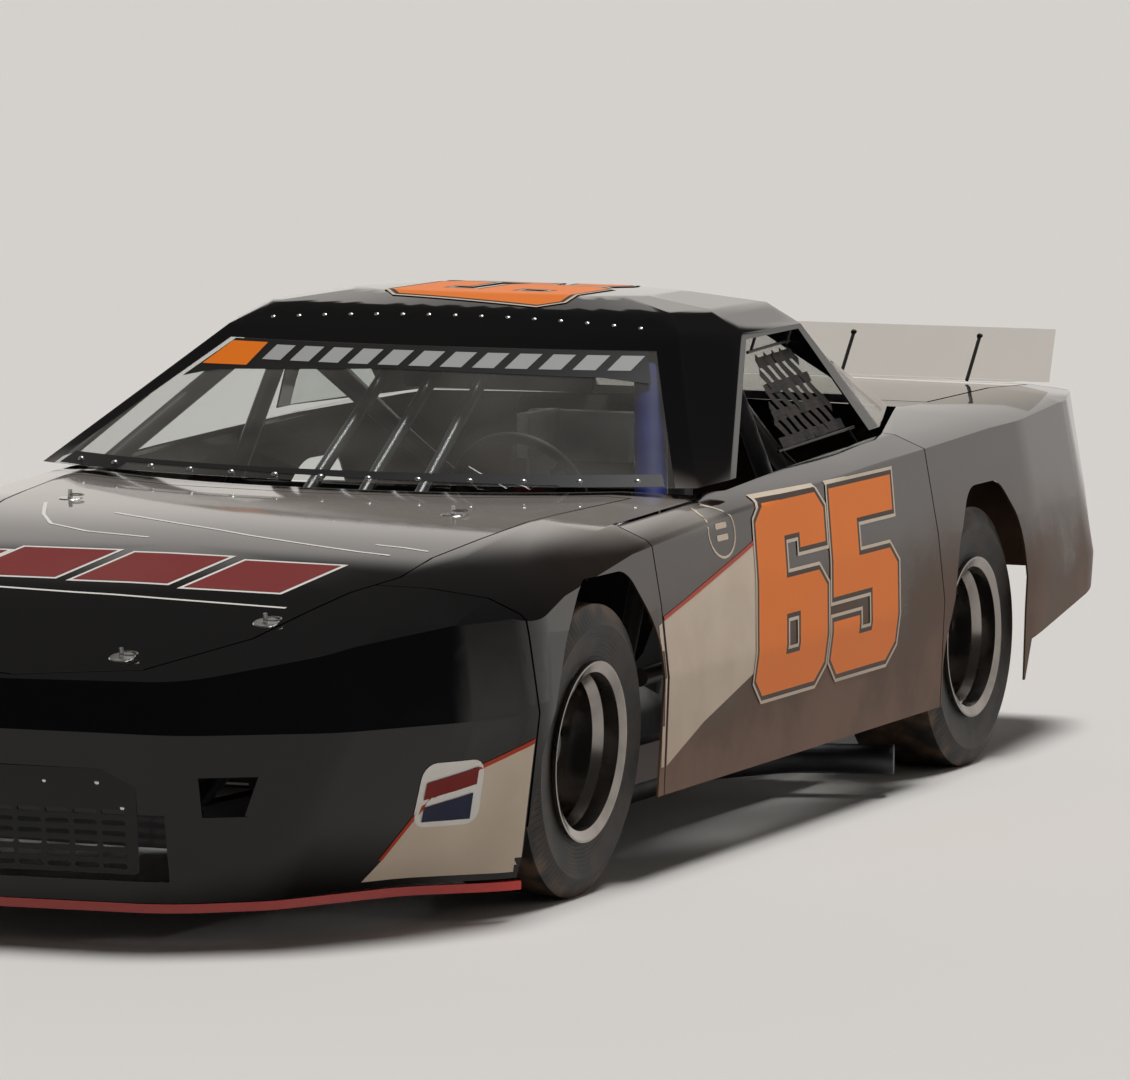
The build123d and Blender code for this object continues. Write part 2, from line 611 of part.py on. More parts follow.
# Front knuckles: an upright between two ball joints, the spindle, the steering arm and the caliper
BALL_LOW_Z = 225
BALL_HIGH_Z = 445
TIE_ROD_Y = FRONT_AXLE_Y - 125
TIE_ROD_Z = 305
kingpin_shift = math.tan(math.radians(KINGPIN_TILT)) * (BALL_HIGH_Z - BALL_LOW_Z) / 2
for name, x, y, side, camber in WHEELS[:2]:
    place = wheel_plane(x, y, side, camber)
    with BuildPart() as knuckle:
        low = Vector(side * (KINGPIN_X + kingpin_shift), y, BALL_LOW_Z)
        high = Vector(side * (KINGPIN_X - kingpin_shift), y, BALL_HIGH_Z)
        run = high - low
        with BuildSketch(Plane(origin=low, x_dir=(0, 1, 0), z_dir=run)):
            Rectangle(70, 36)
        extrude(amount=run.length)
        spindle = place.from_local_coords(Vector(-150, 0, 0))
        outer = place.from_local_coords(Vector(-60, 0, 0))
        axle = outer - spindle
        with BuildSketch(Plane(origin=spindle, z_dir=axle)):
            Circle(SPINDLE_RADIUS)
        extrude(amount=axle.length)
        # Steering arm, forward to the tie rod
        with Locations((side * KINGPIN_X, y - 62, TIE_ROD_Z + 36)):
            Box(26, 126, 22)
        with Locations((side * KINGPIN_X, TIE_ROD_Y, TIE_ROD_Z + 36)):
            Cylinder(19, 22)
        # Caliper behind the axle, over the edge of the disc
        add(place * caliper_on(side))
    label = "knuckle_" + ("left" if side > 0 else "right")
    knuckle.part.label = label
    export_step(knuckle.part, "parts/" + label + ".step")

# Front suspension: two arms and a coil-over on each side
ARM_RADIUS = 14
ARM_INNER_X = CLIP_X + RAIL_WIDTH / 2 + 10
CROSS_Z = 175
LOW_PIVOT = KINGPIN_X + kingpin_shift
HIGH_PIVOT = KINGPIN_X - kingpin_shift
with BuildPart() as front_suspension:
    for start, end, radius in (
        ((ARM_INNER_X, FRONT_AXLE_Y - 150, 205), (LOW_PIVOT, FRONT_AXLE_Y, 203), ARM_RADIUS),
        ((ARM_INNER_X, FRONT_AXLE_Y + 150, 205), (LOW_PIVOT, FRONT_AXLE_Y, 203), ARM_RADIUS),
        ((ARM_INNER_X, FRONT_AXLE_Y - 70, 455), (HIGH_PIVOT, FRONT_AXLE_Y, 465), ARM_RADIUS),
        ((ARM_INNER_X, FRONT_AXLE_Y + 70, 455), (HIGH_PIVOT, FRONT_AXLE_Y, 465), ARM_RADIUS),
        ((560, FRONT_AXLE_Y + 55, 205), (470, FRONT_AXLE_Y + 75, 590), 22),
        ((538, FRONT_AXLE_Y + 60, 300), (480, FRONT_AXLE_Y + 73, 540), 46),
    ):
        run = Vector(end) - Vector(start)
        with BuildSketch(Plane(origin=start, z_dir=run)):
            Circle(radius)
        extrude(amount=run.length)
    for x, z in ((LOW_PIVOT, 203), (HIGH_PIVOT, 466)):
        with Locations((x, FRONT_AXLE_Y, z)):
            Cylinder(18, 30)
    mirror(about=Plane.YZ)
front_suspension.part.label = "front_suspension"
export_step(front_suspension.part, "parts/front_suspension.step")

# Rack housing, and the rack with its tie rods, which slides in it
RACK_RADIUS = 22
RACK_Z = TIE_ROD_Z
RACK_HALF = 320
PINION_X = 310
with BuildPart() as steering_rack:
    with BuildSketch(Plane.YZ.offset(-RACK_HALF)):
        with Locations((TIE_ROD_Y, RACK_Z)):
            Circle(RACK_RADIUS + 12)
    extrude(amount=2 * RACK_HALF)
    for side in (1, -1):
        with Locations((side * 150, TIE_ROD_Y + 38, RACK_Z - 50)):
            Box(40, 44, 69)
    with Locations((PINION_X - 10, TIE_ROD_Y + 30, RACK_Z + 16)):
        Box(40, 56, 46)
    with BuildSketch(Plane.YZ.offset(-RACK_HALF)):
        with Locations((TIE_ROD_Y, RACK_Z)):
            Circle(RACK_RADIUS)
    extrude(amount=2 * RACK_HALF, mode=Mode.SUBTRACT)
steering_rack.part.label = "steering_rack"
export_step(steering_rack.part, "parts/steering_rack.step")

with BuildPart() as steering_link:
    with BuildSketch(Plane.YZ.offset(-RACK_HALF)):
        with Locations((TIE_ROD_Y, RACK_Z)):
            Circle(RACK_RADIUS - 6)
    extrude(amount=2 * RACK_HALF)
    with BuildSketch(Plane.YZ.offset(RACK_HALF - 10)):
        with Locations((TIE_ROD_Y, RACK_Z)):
            Circle(11)
    extrude(amount=KINGPIN_X - RACK_HALF + 10)
    with Locations((KINGPIN_X, TIE_ROD_Y, RACK_Z)):
        Cylinder(19, 26)
    mirror(about=Plane.YZ)
steering_link.part.label = "steering_link"
export_step(steering_link.part, "parts/steering_link.step")

# Rear axle: tubes, a quick-change centre section, and the brake brackets
with BuildPart() as rear_axle:
    with BuildSketch(Plane.YZ.offset(-640)):
        with Locations((REAR_AXLE_Y, TYRE_RADIUS)):
            Circle(38)
    extrude(amount=1280)
    with BuildSketch(Plane.YZ.offset(-HALF_TRACK + 60)):
        with Locations((REAR_AXLE_Y, TYRE_RADIUS)):
            Circle(SPINDLE_RADIUS)
    extrude(amount=2 * HALF_TRACK - 120)
    with Locations((0, REAR_AXLE_Y, TYRE_RADIUS)):
        Sphere(135)
    with BuildSketch(Plane.XZ.offset(-REAR_AXLE_Y - 90)):
        with Locations((0, TYRE_RADIUS - 10)):
            RectangleRounded(170, 230, 60)
    extrude(amount=-80)
    with BuildSketch(Plane.XZ.offset(-REAR_AXLE_Y + 90)):
        with Locations((0, TYRE_RADIUS - 40)):
            Circle(45)
    extrude(amount=110)
    for side in (1, -1):
        add(wheel_plane(side * HALF_TRACK, REAR_AXLE_Y, side, 0) * caliper_on(side))
        with Locations((side * 652, REAR_AXLE_Y + 45, TYRE_RADIUS)):
            Box(20, 110, 60)
rear_axle.part.label = "rear_axle"
export_step(rear_axle.part, "parts/rear_axle.step")

with BuildPart() as rear_suspension:
    for start, end, radius in (
        ((560, REAR_AXLE_Y - 428, 215), (560, REAR_AXLE_Y - 45, 255), 16),
        ((430, REAR_AXLE_Y + 90, 250), (400, REAR_AXLE_Y + 60, 640), 22),
        ((425, REAR_AXLE_Y + 88, 330), (405, REAR_AXLE_Y + 65, 590), 46),
    ):
        run = Vector(end) - Vector(start)
        with BuildSketch(Plane(origin=start, z_dir=run)):
            Circle(radius)
        extrude(amount=run.length)
    mirror(about=Plane.YZ)
    start = Vector(-REAR_CLIP_X, REAR_AXLE_Y + 190, 330)
    run = Vector(200, REAR_AXLE_Y + 190, 330) - start
    with BuildSketch(Plane(origin=start, z_dir=run)):
        Circle(14)
    extrude(amount=run.length)
rear_suspension.part.label = "rear_suspension"
export_step(rear_suspension.part, "parts/rear_suspension.step")

# Engine as one block with its heads, cover and air cleaner
ENGINE_FRONT_Y = -1380
ENGINE_REAR_Y = -850
with BuildPart() as engine:
    with BuildSketch(Plane.XZ.offset(-ENGINE_REAR_Y)):
        with BuildLine():
            Polyline((0, 226), (110, 226), (150, 330), (290, 450), (290, 570), (210, 610), (120, 570), (0, 570))
            mirror(about=Plane.YZ)
        make_face()
    extrude(amount=ENGINE_REAR_Y - ENGINE_FRONT_Y)
    with Locations((0, -1130, 570)):
        Cylinder(170, 90, align=(Align.CENTER, Align.CENTER, Align.MIN))
    with BuildSketch(Plane.XZ.offset(-ENGINE_FRONT_Y)):
        with Locations((0, 300), (0, 460)):
            Circle(72)
    extrude(amount=24)
engine.part.label = "engine"
export_step(engine.part, "parts/engine.step")

with BuildPart() as driveline:
    with BuildSketch(Plane.XZ.offset(-ENGINE_REAR_Y)):
        with Locations((0, 370)):
            Circle(140)
    extrude(amount=-110, taper=12)
    with Locations((0, -470, 345)):
        Box(190, 560, 180)
    with BuildSketch(Plane.XZ.offset(200)):
        with Locations((0, 325)):
            Circle(38)
    extrude(amount=-(REAR_AXLE_Y - 205 + 200))
driveline.part.label = "driveline"
export_step(driveline.part, "parts/driveline.step")

with BuildPart() as radiator:
    with Locations((0, -2080, 430)):
        Box(500, 60, 260)
    with Locations((0, -2030, 430)):
        Cylinder(120, 40, rotation=(90, 0, 0))
    with GridLocations(550, 1, 2, 1):
        with Locations((0, -2080, 430)):
            Box(50, 66, 270)
radiator.part.label = "radiator"
export_step(radiator.part, "parts/radiator.step")

with BuildPart() as fuel_cell:
    with Locations((0, 1970, 400)):
        Box(640, 460, 230)
    fillet(fuel_cell.edges().filter_by(Axis.Z), 25)
    with Locations((0, 1970, 515)):
        Cylinder(80, 24, align=(Align.CENTER, Align.CENTER, Align.MIN))
fuel_cell.part.label = "fuel_cell"
export_step(fuel_cell.part, "parts/fuel_cell.step")

EXHAUST_RADIUS = 38
with BuildPart() as exhaust:
    with BuildLine() as exhaust_line:
        FilletPolyline(
            (318, -1000, 455), (480, -960, 400), (560, -860, 92), (560, 300, 92), (700, 540, 92), (960, 620, 92),
            radius=[80, 90, 200, 120],
        )
    with BuildSketch(exhaust_line.line ^ 0):
        Circle(EXHAUST_RADIUS)
    sweep(path=exhaust_line.line)
    mirror(about=Plane.YZ)
exhaust.part.label = "exhaust"
export_step(exhaust.part, "parts/exhaust.step")

# Driver's seat in sheet: pan, back and head surround
SEAT_Y = -60
with BuildPart() as seat:
    with BuildSketch(Plane.YZ.offset(SEAT_X - 215)):
        with BuildLine():
            Polyline((-330, 200), (-330, 420), (40, 300), (190, 620), (215, 980), (265, 980), (250, 560), (150, 200), close=True)
        make_face()
    extrude(amount=430)
    with BuildSketch(Plane.YZ.offset(SEAT_X - 205)):
        with BuildLine():
            Polyline((-340, 250), (-340, 430), (30, 330), (175, 640), (195, 990), (230, 990), (215, 600), (110, 245), close=True)
        make_face()
    extrude(amount=410, mode=Mode.SUBTRACT)
    for side in (1, -1):
        with Locations((SEAT_X + side * 150, 130, 930)):
            Box(30, 200, 110)
seat.part.label = "seat"
export_step(seat.part, "parts/seat.step")

# Steering: column, shaft down to the rack, and the wheel on its quick release
COLUMN_TILT = 18
WHEEL_RADIUS = 185
GRIP_RADIUS = 14
column_axis = Vector(0, math.cos(math.radians(COLUMN_TILT)), math.sin(math.radians(COLUMN_TILT)))
hub_face = Vector(SEAT_X, -330, 800)
with BuildPart() as steering_column:
    start = hub_face - column_axis * 60
    with BuildSketch(Plane(origin=start, z_dir=-column_axis)):
        Circle(14)
    extrude(amount=400)
    with BuildSketch(Plane(origin=start - column_axis * 60, z_dir=-column_axis)):
        Circle(24)
    extrude(amount=220)
    elbow = start - column_axis * 395
    end = Vector(PINION_X - 2, TIE_ROD_Y + 64, RACK_Z + 22)
    run = end - elbow
    with BuildSketch(Plane(origin=elbow, z_dir=run)):
        Circle(11)
    extrude(amount=run.length)
    with Locations(elbow):
        Sphere(24)
steering_column.part.label = "steering_column"
export_step(steering_column.part, "parts/steering_column.step")

wheel_face = Plane(origin=hub_face, x_dir=(1, 0, 0), z_dir=column_axis)
with BuildPart() as steering_wheel:
    with BuildSketch(Plane(origin=hub_face, x_dir=(1, 0, 0), z_dir=wheel_face.y_dir)):
        with Locations((WHEEL_RADIUS - GRIP_RADIUS, 0)):
            Circle(GRIP_RADIUS)
    revolve(axis=Axis(hub_face, column_axis))
    with BuildSketch(wheel_face):
        Circle(48)
        with PolarLocations(90, 3, start_angle=90):
            Rectangle(160, 34)
    extrude(amount=-5)
    with BuildSketch(wheel_face):
        Circle(30)
    extrude(amount=-55)
steering_wheel.part.label = "steering_wheel"
export_step(steering_wheel.part, "parts/steering_wheel.step")

# Dash panel across the cage, with the hole for the column
with BuildPart() as dash:
    with Locations((SEAT_X - 60, DASH_Y + 31, 705)):
        Box(620, 16, 140)
    with BuildSketch(Plane(origin=hub_face, z_dir=-column_axis)):
        Circle(32)
    extrude(amount=500, mode=Mode.SUBTRACT)
dash.part.label = "dash"
export_step(dash.part, "parts/dash.step")

# Pedals and gear lever
with BuildPart() as controls:
    for x in (SEAT_X - 110, SEAT_X, SEAT_X + 110):
        with Locations((x, DASH_Y - 60, 330)):
            Box(60, 12, 90)
        with Locations((x, DASH_Y - 84, 250)):
            Box(14, 50, 200)
controls.part.label = "controls"
export_step(controls.part, "parts/controls.step")

# Window net in the rear half of the driver's window
with BuildPart() as window_net:
    with BuildSketch(Plane.YZ.offset(800)):
        with BuildLine():
            Polyline((230, 900), (330, 1130), (590, 1140), (720, 920), close=True)
        make_face()
    extrude(amount=4)
window_net.part.label = "window_net"
export_step(window_net.part, "parts/window_net.step")
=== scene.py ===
import math

import bmesh
import bpy
from mathutils import Matrix, Vector
from mathutils.bvhtree import BVHTree


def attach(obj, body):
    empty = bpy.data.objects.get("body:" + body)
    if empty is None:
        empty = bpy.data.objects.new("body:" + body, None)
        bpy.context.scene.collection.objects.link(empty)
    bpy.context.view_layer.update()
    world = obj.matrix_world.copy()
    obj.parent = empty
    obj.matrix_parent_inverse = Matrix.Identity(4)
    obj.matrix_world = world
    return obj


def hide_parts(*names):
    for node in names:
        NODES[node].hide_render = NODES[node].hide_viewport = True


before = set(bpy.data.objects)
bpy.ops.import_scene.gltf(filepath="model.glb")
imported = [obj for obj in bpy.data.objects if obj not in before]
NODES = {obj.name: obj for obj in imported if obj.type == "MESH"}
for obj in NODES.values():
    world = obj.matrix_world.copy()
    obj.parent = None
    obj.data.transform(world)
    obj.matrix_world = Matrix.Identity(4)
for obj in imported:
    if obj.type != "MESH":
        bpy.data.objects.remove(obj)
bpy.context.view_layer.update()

# Real sizes, in metres, as everywhere but in the artwork's tables
MM = 0.001
FRONT_AXLE_Y = -1.320
REAR_AXLE_Y = 1.260
TYRE_RADIUS = 0.338
STEERING_HUB = (0.34, -0.33, 0.8)
COLUMN_TILT = 18
# Where the drawing planes stand, clear of the body
SIDE_START = 1.5
ROOF_START = 2.0
NOSE_START = -3.2
# Cut vinyl follows the body in small steps and stands just proud of it, one film for each layer
CUT_STEP = 0.016
FILM = 0.7 * MM
# Shading, in degrees: rolled panels are smooth up to the first, and the rest keep edges sharper than theirs
ROLLED_PANEL = 24
CAD_EDGE = 28
PIECE_EDGE = 35
ROUND_SIDES = 10

# The photograph's frame and its camera, found from the wheels and the body's edges
PHOTO_WIDTH_PX = 1130
CAMERA_PLACE = (7.388, -16.707, 2.471)
CAMERA_AZIMUTH = 22.936
CAMERA_ELEVATION = 5.644
CAMERA_ROLL = 0.18
FOCAL_PX = 7363.4
SENSOR_MM = 36
CAMERA_REACH = 2000

# The studio: how far the floor runs, and the sun that stands for a wide softbox overhead
FLOOR_HALF = 300
SUN_FROM = (1.0, 3.2, 10)
SUN_STRENGTH = 2.8
SUN_SPREAD = 24


# Materials


def linear(hex_colour):
    # sRGB hex to linear RGBA.
    channels = [int(hex_colour[i:i + 2], 16) / 255 for i in (1, 3, 5)]
    return [c / 12.92 if c <= 0.04045 else ((c + 0.055) / 1.055) ** 2.4 for c in channels] + [1]


def add_node(tree, kind, settings=None, **links):
    # One node with its settings and its inputs: a socket is linked, any other value is set.
    made = tree.nodes.new(kind)
    for name, value in (settings or {}).items():
        setattr(made, name, value)
    for name, value in links.items():
        key = name.replace("_", " ")
        socket = made.inputs[int(key[1:])] if key[0] == "i" and key[1:].isdigit() else made.inputs[key]
        if isinstance(value, bpy.types.NodeSocket):
            tree.links.new(value, socket)
        else:
            socket.default_value = value
    return made


def new_material(name):
    # An empty material, its node tree and its output node.
    material = bpy.data.materials.new(name)
    material.use_nodes = True
    tree = material.node_tree
    tree.nodes.clear()
    return material, tree, tree.nodes.new("ShaderNodeOutputMaterial")


def finish_material(tree, output, shader, height=None, depth=0.0):
    # The shader goes to the surface, with its bump in metres where it has one.
    if height is not None:
        bump = add_node(tree, "ShaderNodeBump", None, Height=height, Distance=depth, Strength=1.0)
        tree.links.new(bump.outputs["Normal"], shader.inputs["Normal"])
    tree.links.new(shader.outputs[0], output.inputs["Surface"])


def place(tree):
    # Where a point is on the car, in metres.
    return add_node(tree, "ShaderNodeTexCoord").outputs["Object"]


def ramp(tree, factor, low, high, to_low=0.0, to_high=1.0):
    # A value from low to high becomes one from to_low to to_high, held at the ends.
    made = add_node(
        tree, "ShaderNodeMapRange", {"interpolation_type": "SMOOTHSTEP"},
        Value=factor, From_Min=low, From_Max=high, To_Min=to_low, To_Max=to_high,
    )
    return made.outputs["Result"]


def mixed(tree, factor, first, second):
    # The first colour where the factor is 0, the second where it is 1.
    return add_node(tree, "ShaderNodeMix", {"data_type": "RGBA"}, Factor=factor, i6=first, i7=second).outputs[2]


def reckon(tree, operation, first, second=0.0):
    # One step of arithmetic.
    return add_node(tree, "ShaderNodeMath", {"operation": operation}, i0=first, i1=second).outputs[0]


def road_film(tree, spot, most):
    # Brown road dust thrown up behind the front wheels: it thickens towards the sills in drifting patches.
    axes = add_node(tree, "ShaderNodeSeparateXYZ", None, Vector=spot)
    height, behind = axes.outputs["Z"], ramp(tree, axes.outputs["Y"], -1.75, -0.9)
    cloud = add_node(tree, "ShaderNodeTexNoise", None, Vector=spot, Scale=2.2, Detail=6.0, Roughness=0.6)
    low = reckon(tree, "MULTIPLY", behind, ramp(tree, height, 0.95, 0.15, 0.0, most))
    return reckon(tree, "MULTIPLY", low, ramp(tree, cloud.outputs["Fac"], 0.3, 0.65, 0.45, 1.0))


def enamel(name, colour, dust, roughness=0.10, coat=0.7):
    # Sprayed gloss enamel: a deep coat with fine orange peel, dulled where road dust lies on it, and paled on the top
    # behind the middle of the bonnet by a painted reflection.
    material, tree, output = new_material(name)
    spot = place(tree)
    film = road_film(tree, spot, dust)
    thrown = mixed(tree, film, linear(colour), linear("#7e604e"))
    # Painted reflection: the top is paled from the middle of the bonnet back to the windscreen, standing in for
    # bright light mirrored there; it keeps the full gloss, and its strength follows the dust amount
    axes = add_node(tree, "ShaderNodeSeparateXYZ", None, Vector=spot)
    high = ramp(tree, axes.outputs["Z"], 0.77, 0.83)
    top = reckon(tree, "MULTIPLY", ramp(tree, axes.outputs["Y"], -1.50, -1.05), high)
    painted_reflection = reckon(tree, "MULTIPLY", top, ramp(tree, axes.outputs["Y"], -0.45, -0.60, 0.0, 0.6 * dust))
    base = mixed(tree, painted_reflection, thrown, linear("#b9b0a8"))
    # The real peel, about 2 mm, is too fine to show: drawn at 8 mm
    peel = add_node(tree, "ShaderNodeTexNoise", None, Vector=spot, Scale=1 / (8 * MM), Detail=2.0)
    rough = ramp(tree, film, 0.0, 0.6, roughness, roughness + 0.35)
    gloss = ramp(tree, film, 0.0, 0.5, 0.28, 0.08)
    coating = ramp(tree, film, 0.0, 0.5, coat, 0.0)
    shader = add_node(
        tree, "ShaderNodeBsdfPrincipled", None,
        Base_Color=base, Roughness=rough, Specular_IOR_Level=gloss, Coat_Weight=coating, Coat_Roughness=0.05,
    )
    finish_material(tree, output, shader, peel.outputs["Fac"], 0.012 * MM)
    return material


def cut_vinyl(name, colour, dust, worn):
    # Calendered vinyl film cut to shape: satin, slightly uneven over the panel, dusty low down.
    material, tree, output = new_material(name)
    spot = place(tree)
    film = road_film(tree, spot, dust)
    fade = add_node(tree, "ShaderNodeTexNoise", None, Vector=spot, Scale=5.0, Detail=4.0)
    shade = ramp(tree, fade.outputs["Fac"], 0.35, 0.7, 0.0, worn)
    toned = mixed(tree, shade, linear(colour), linear("#8a6a55"))
    base = mixed(tree, film, toned, linear("#8a6f5e"))
    ripple = add_node(tree, "ShaderNodeTexNoise", None, Vector=spot, Scale=1 / (12 * MM), Detail=2.0)
    shader = add_node(
        tree, "ShaderNodeBsdfPrincipled", None, Base_Color=base, Roughness=0.45, Specular_IOR_Level=0.2,
    )
    finish_material(tree, output, shader, ripple.outputs["Fac"], 0.02 * MM)
    return material


def worked_metal(name, colour, roughness, grain_mm=1.5, stain_colour="#3a332d", stain=0.35):
    # Bare or machined metal with a fine uneven grain and slight stains.
    material, tree, output = new_material(name)
    spot = place(tree)
    grain = add_node(tree, "ShaderNodeTexNoise", None, Vector=spot, Scale=1 / (grain_mm * MM), Detail=3.0)
    stains = add_node(tree, "ShaderNodeTexNoise", None, Vector=spot, Scale=9.0, Detail=5.0)
    dirt = ramp(tree, stains.outputs["Fac"], 0.45, 0.75, 0.0, stain)
    base = mixed(tree, dirt, linear(colour), linear(stain_colour))
    rough = ramp(tree, stains.outputs["Fac"], 0.3, 0.7, roughness, roughness + 0.16)
    shader = add_node(tree, "ShaderNodeBsdfPrincipled", None, Base_Color=base, Roughness=rough, Metallic=1.0)
    finish_material(tree, output, shader, grain.outputs["Fac"], 0.03 * MM)
    return material


def wheel_place(tree):
    # Radius and angle about its own axle of a point on a tyre.
    axes = add_node(tree, "ShaderNodeSeparateXYZ", None, Vector=place(tree))
    rear = reckon(tree, "GREATER_THAN", axes.outputs["Y"], 0.0)
    axle_y = ramp(tree, rear, 0.0, 1.0, FRONT_AXLE_Y, REAR_AXLE_Y)
    fore = reckon(tree, "SUBTRACT", axes.outputs["Y"], axle_y)
    up = reckon(tree, "SUBTRACT", axes.outputs["Z"], TYRE_RADIUS)
    spread = reckon(tree, "ADD", reckon(tree, "MULTIPLY", fore, fore), reckon(tree, "MULTIPLY", up, up))
    return reckon(tree, "SQRT", spread), reckon(tree, "ARCTAN2", up, fore)


def slick_rubber():
    # Soft race rubber: near-slick tread scuffed brown-grey, fine radial marks and rings on the sidewall.
    material, tree, output = new_material("slick_tyre_rubber")
    spot = place(tree)
    radius, angle = wheel_place(tree)
    grit = add_node(tree, "ShaderNodeTexNoise", None, Vector=spot, Scale=1 / (2.5 * MM), Detail=4.0)
    smear = add_node(tree, "ShaderNodeTexNoise", None, Vector=spot, Scale=14.0, Detail=4.0)
    worn = ramp(tree, radius, 0.300, 0.334, 0.15, 0.75)
    scuff = reckon(tree, "MULTIPLY", worn, ramp(tree, smear.outputs["Fac"], 0.35, 0.7))
    base = mixed(tree, scuff, linear("#171412"), linear("#6b5240"))
    # 120 radial marks near the shoulder, and rings 9 mm apart down the sidewall
    marks = ramp(tree, reckon(tree, "SINE", reckon(tree, "MULTIPLY", angle, 120.0)), 0.6, 1.0)
    shoulder = reckon(tree, "MULTIPLY", ramp(tree, radius, 0.292, 0.300), ramp(tree, radius, 0.330, 0.324))
    rings = ramp(tree, reckon(tree, "SINE", reckon(tree, "MULTIPLY", radius, 2 * math.pi / (9 * MM))), 0.7, 1.0)
    wall = reckon(tree, "MULTIPLY", rings, ramp(tree, radius, 0.285, 0.275))
    relief = reckon(tree, "ADD", reckon(tree, "MULTIPLY", marks, shoulder), wall)
    height = reckon(tree, "ADD", relief, reckon(tree, "MULTIPLY", grit.outputs["Fac"], 0.25))
    shader = add_node(tree, "ShaderNodeBsdfPrincipled", None, Base_Color=base, Roughness=0.58)
    finish_material(tree, output, shader, height, 1.0 * MM)
    return material


def polycarbonate(name, tint, haze_low, haze_high):
    # Clear polycarbonate sheet: hard reflections, a faint tint, and dust wiped into a thin cloudy haze.
    material, tree, output = new_material(name)
    spot = place(tree)
    wiped = add_node(tree, "ShaderNodeTexNoise", None, Vector=spot, Scale=2.5, Detail=2.0)
    rough = ramp(tree, wiped.outputs["Fac"], 0.3, 0.8, 0.02, 0.10)
    glossy = add_node(tree, "ShaderNodeBsdfGlossy", None, Color=linear("#ffffff"), Roughness=rough)
    clear = add_node(tree, "ShaderNodeBsdfTransparent", None, Color=linear(tint))
    grazing = add_node(tree, "ShaderNodeLayerWeight", None, Blend=0.5).outputs["Facing"]
    mirror = ramp(tree, reckon(tree, "POWER", grazing, 4.0), 0.0, 1.0, 0.02, 0.6)
    sheet = add_node(tree, "ShaderNodeMixShader", None, i0=mirror, i1=clear.outputs[0], i2=glossy.outputs[0])
    dust = add_node(tree, "ShaderNodeBsdfDiffuse", None, Color=linear("#cfc8c0"))
    haze = ramp(tree, wiped.outputs["Fac"], 0.25, 0.8, haze_low, haze_high)
    shader = add_node(tree, "ShaderNodeMixShader", None, i0=haze, i1=sheet.outputs[0], i2=dust.outputs[0])
    tree.links.new(shader.outputs[0], output.inputs["Surface"])
    return material


def webbing(name, colour):
    # Woven nylon webbing with a 3 mm rib.
    material, tree, output = new_material(name)
    spot = place(tree)
    rib = add_node(tree, "ShaderNodeTexWave", None, Vector=spot, Scale=1 / (3 * MM) / (2 * math.pi), Distortion=1.0)
    fade = add_node(tree, "ShaderNodeTexNoise", None, Vector=spot, Scale=20.0, Detail=3.0)
    base = mixed(tree, ramp(tree, fade.outputs["Fac"], 0.3, 0.7), linear(colour), linear("#2c221d"))
    shader = add_node(tree, "ShaderNodeBsdfPrincipled", None, Base_Color=base, Roughness=0.8)
    finish_material(tree, output, shader, rib.outputs["Fac"], 0.4 * MM)
    return material


def padding(name, colour):
    # Closed-cell foam sleeve in coated cloth: matte, finely dimpled.
    material, tree, output = new_material(name)
    spot = place(tree)
    dimple = add_node(tree, "ShaderNodeTexVoronoi", None, Vector=spot, Scale=1 / (4 * MM))
    fade = add_node(tree, "ShaderNodeTexNoise", None, Vector=spot, Scale=12.0, Detail=3.0)
    base = mixed(tree, ramp(tree, fade.outputs["Fac"], 0.4, 0.8, 0.0, 0.4), linear(colour), linear("#20242c"))
    shader = add_node(tree, "ShaderNodeBsdfPrincipled", None, Base_Color=base, Roughness=0.7)
    finish_material(tree, output, shader, dimple.outputs["Distance"], 0.5 * MM)
    return material


def steering_finish():
    # One wheel in four finishes: rubber on the rim, bare aluminium spokes, a black pad in front of them, and
    # a red anodised quick release behind.
    material, tree, output = new_material("steering_wheel_finishes")
    spot = place(tree)
    tilt = math.radians(COLUMN_TILT)
    axis = (0.0, math.cos(tilt), math.sin(tilt))
    out = add_node(tree, "ShaderNodeVectorMath", {"operation": "SUBTRACT"}, i0=spot, i1=STEERING_HUB).outputs[0]
    ahead = add_node(tree, "ShaderNodeVectorMath", {"operation": "DOT_PRODUCT"}, i0=out, i1=axis).outputs["Value"]
    reach = add_node(tree, "ShaderNodeVectorMath", {"operation": "LENGTH"}, i0=out).outputs["Value"]
    grip = ramp(tree, reach, 0.155, 0.157)
    centre = ramp(tree, reach, 0.070, 0.066)
    pad = reckon(tree, "MULTIPLY", centre, ramp(tree, ahead, 0.0003, 0.0008))
    release = reckon(tree, "MULTIPLY", centre, ramp(tree, ahead, -0.0055, -0.0062))
    rubber = reckon(tree, "MAXIMUM", grip, pad)
    brushed = add_node(tree, "ShaderNodeTexNoise", None, Vector=spot, Scale=180.0, Detail=4.0)
    metal = mixed(tree, brushed.outputs["Fac"], linear("#9fa0a2"), linear("#c6c7c9"))
    anodised = mixed(tree, release, metal, linear("#b4141c"))
    base = mixed(tree, rubber, anodised, linear("#121212"))
    shine = reckon(tree, "SUBTRACT", 1.0, rubber)
    rough = ramp(tree, rubber, 0.0, 1.0, 0.32, 0.62)
    shader = add_node(tree, "ShaderNodeBsdfPrincipled", None, Base_Color=base, Roughness=rough, Metallic=shine)
    finish_material(tree, output, shader, brushed.outputs["Fac"], 0.05 * MM)
    return material


# Pieces


def shade_across(mesh, angle):
    # Rolled sheet shades smoothly over the seams between its faces, up to that angle. No point moves.
    spots = [tuple(round(c, 5) for c in vertex.co) for vertex in mesh.vertices]
    meeting = {}
    for polygon in mesh.polygons:
        for i in polygon.vertices:
            meeting.setdefault(spots[i], []).append((polygon.normal.copy(), polygon.area))
    limit = math.cos(math.radians(angle))
    normals = []
    for polygon in mesh.polygons:
        for i in polygon.vertices:
            near = [normal * area for normal, area in meeting[spots[i]] if normal.dot(polygon.normal) > limit]
            normals.append(sum(near, Vector()).normalized() if near else polygon.normal)
    mesh.normals_split_custom_set(normals)


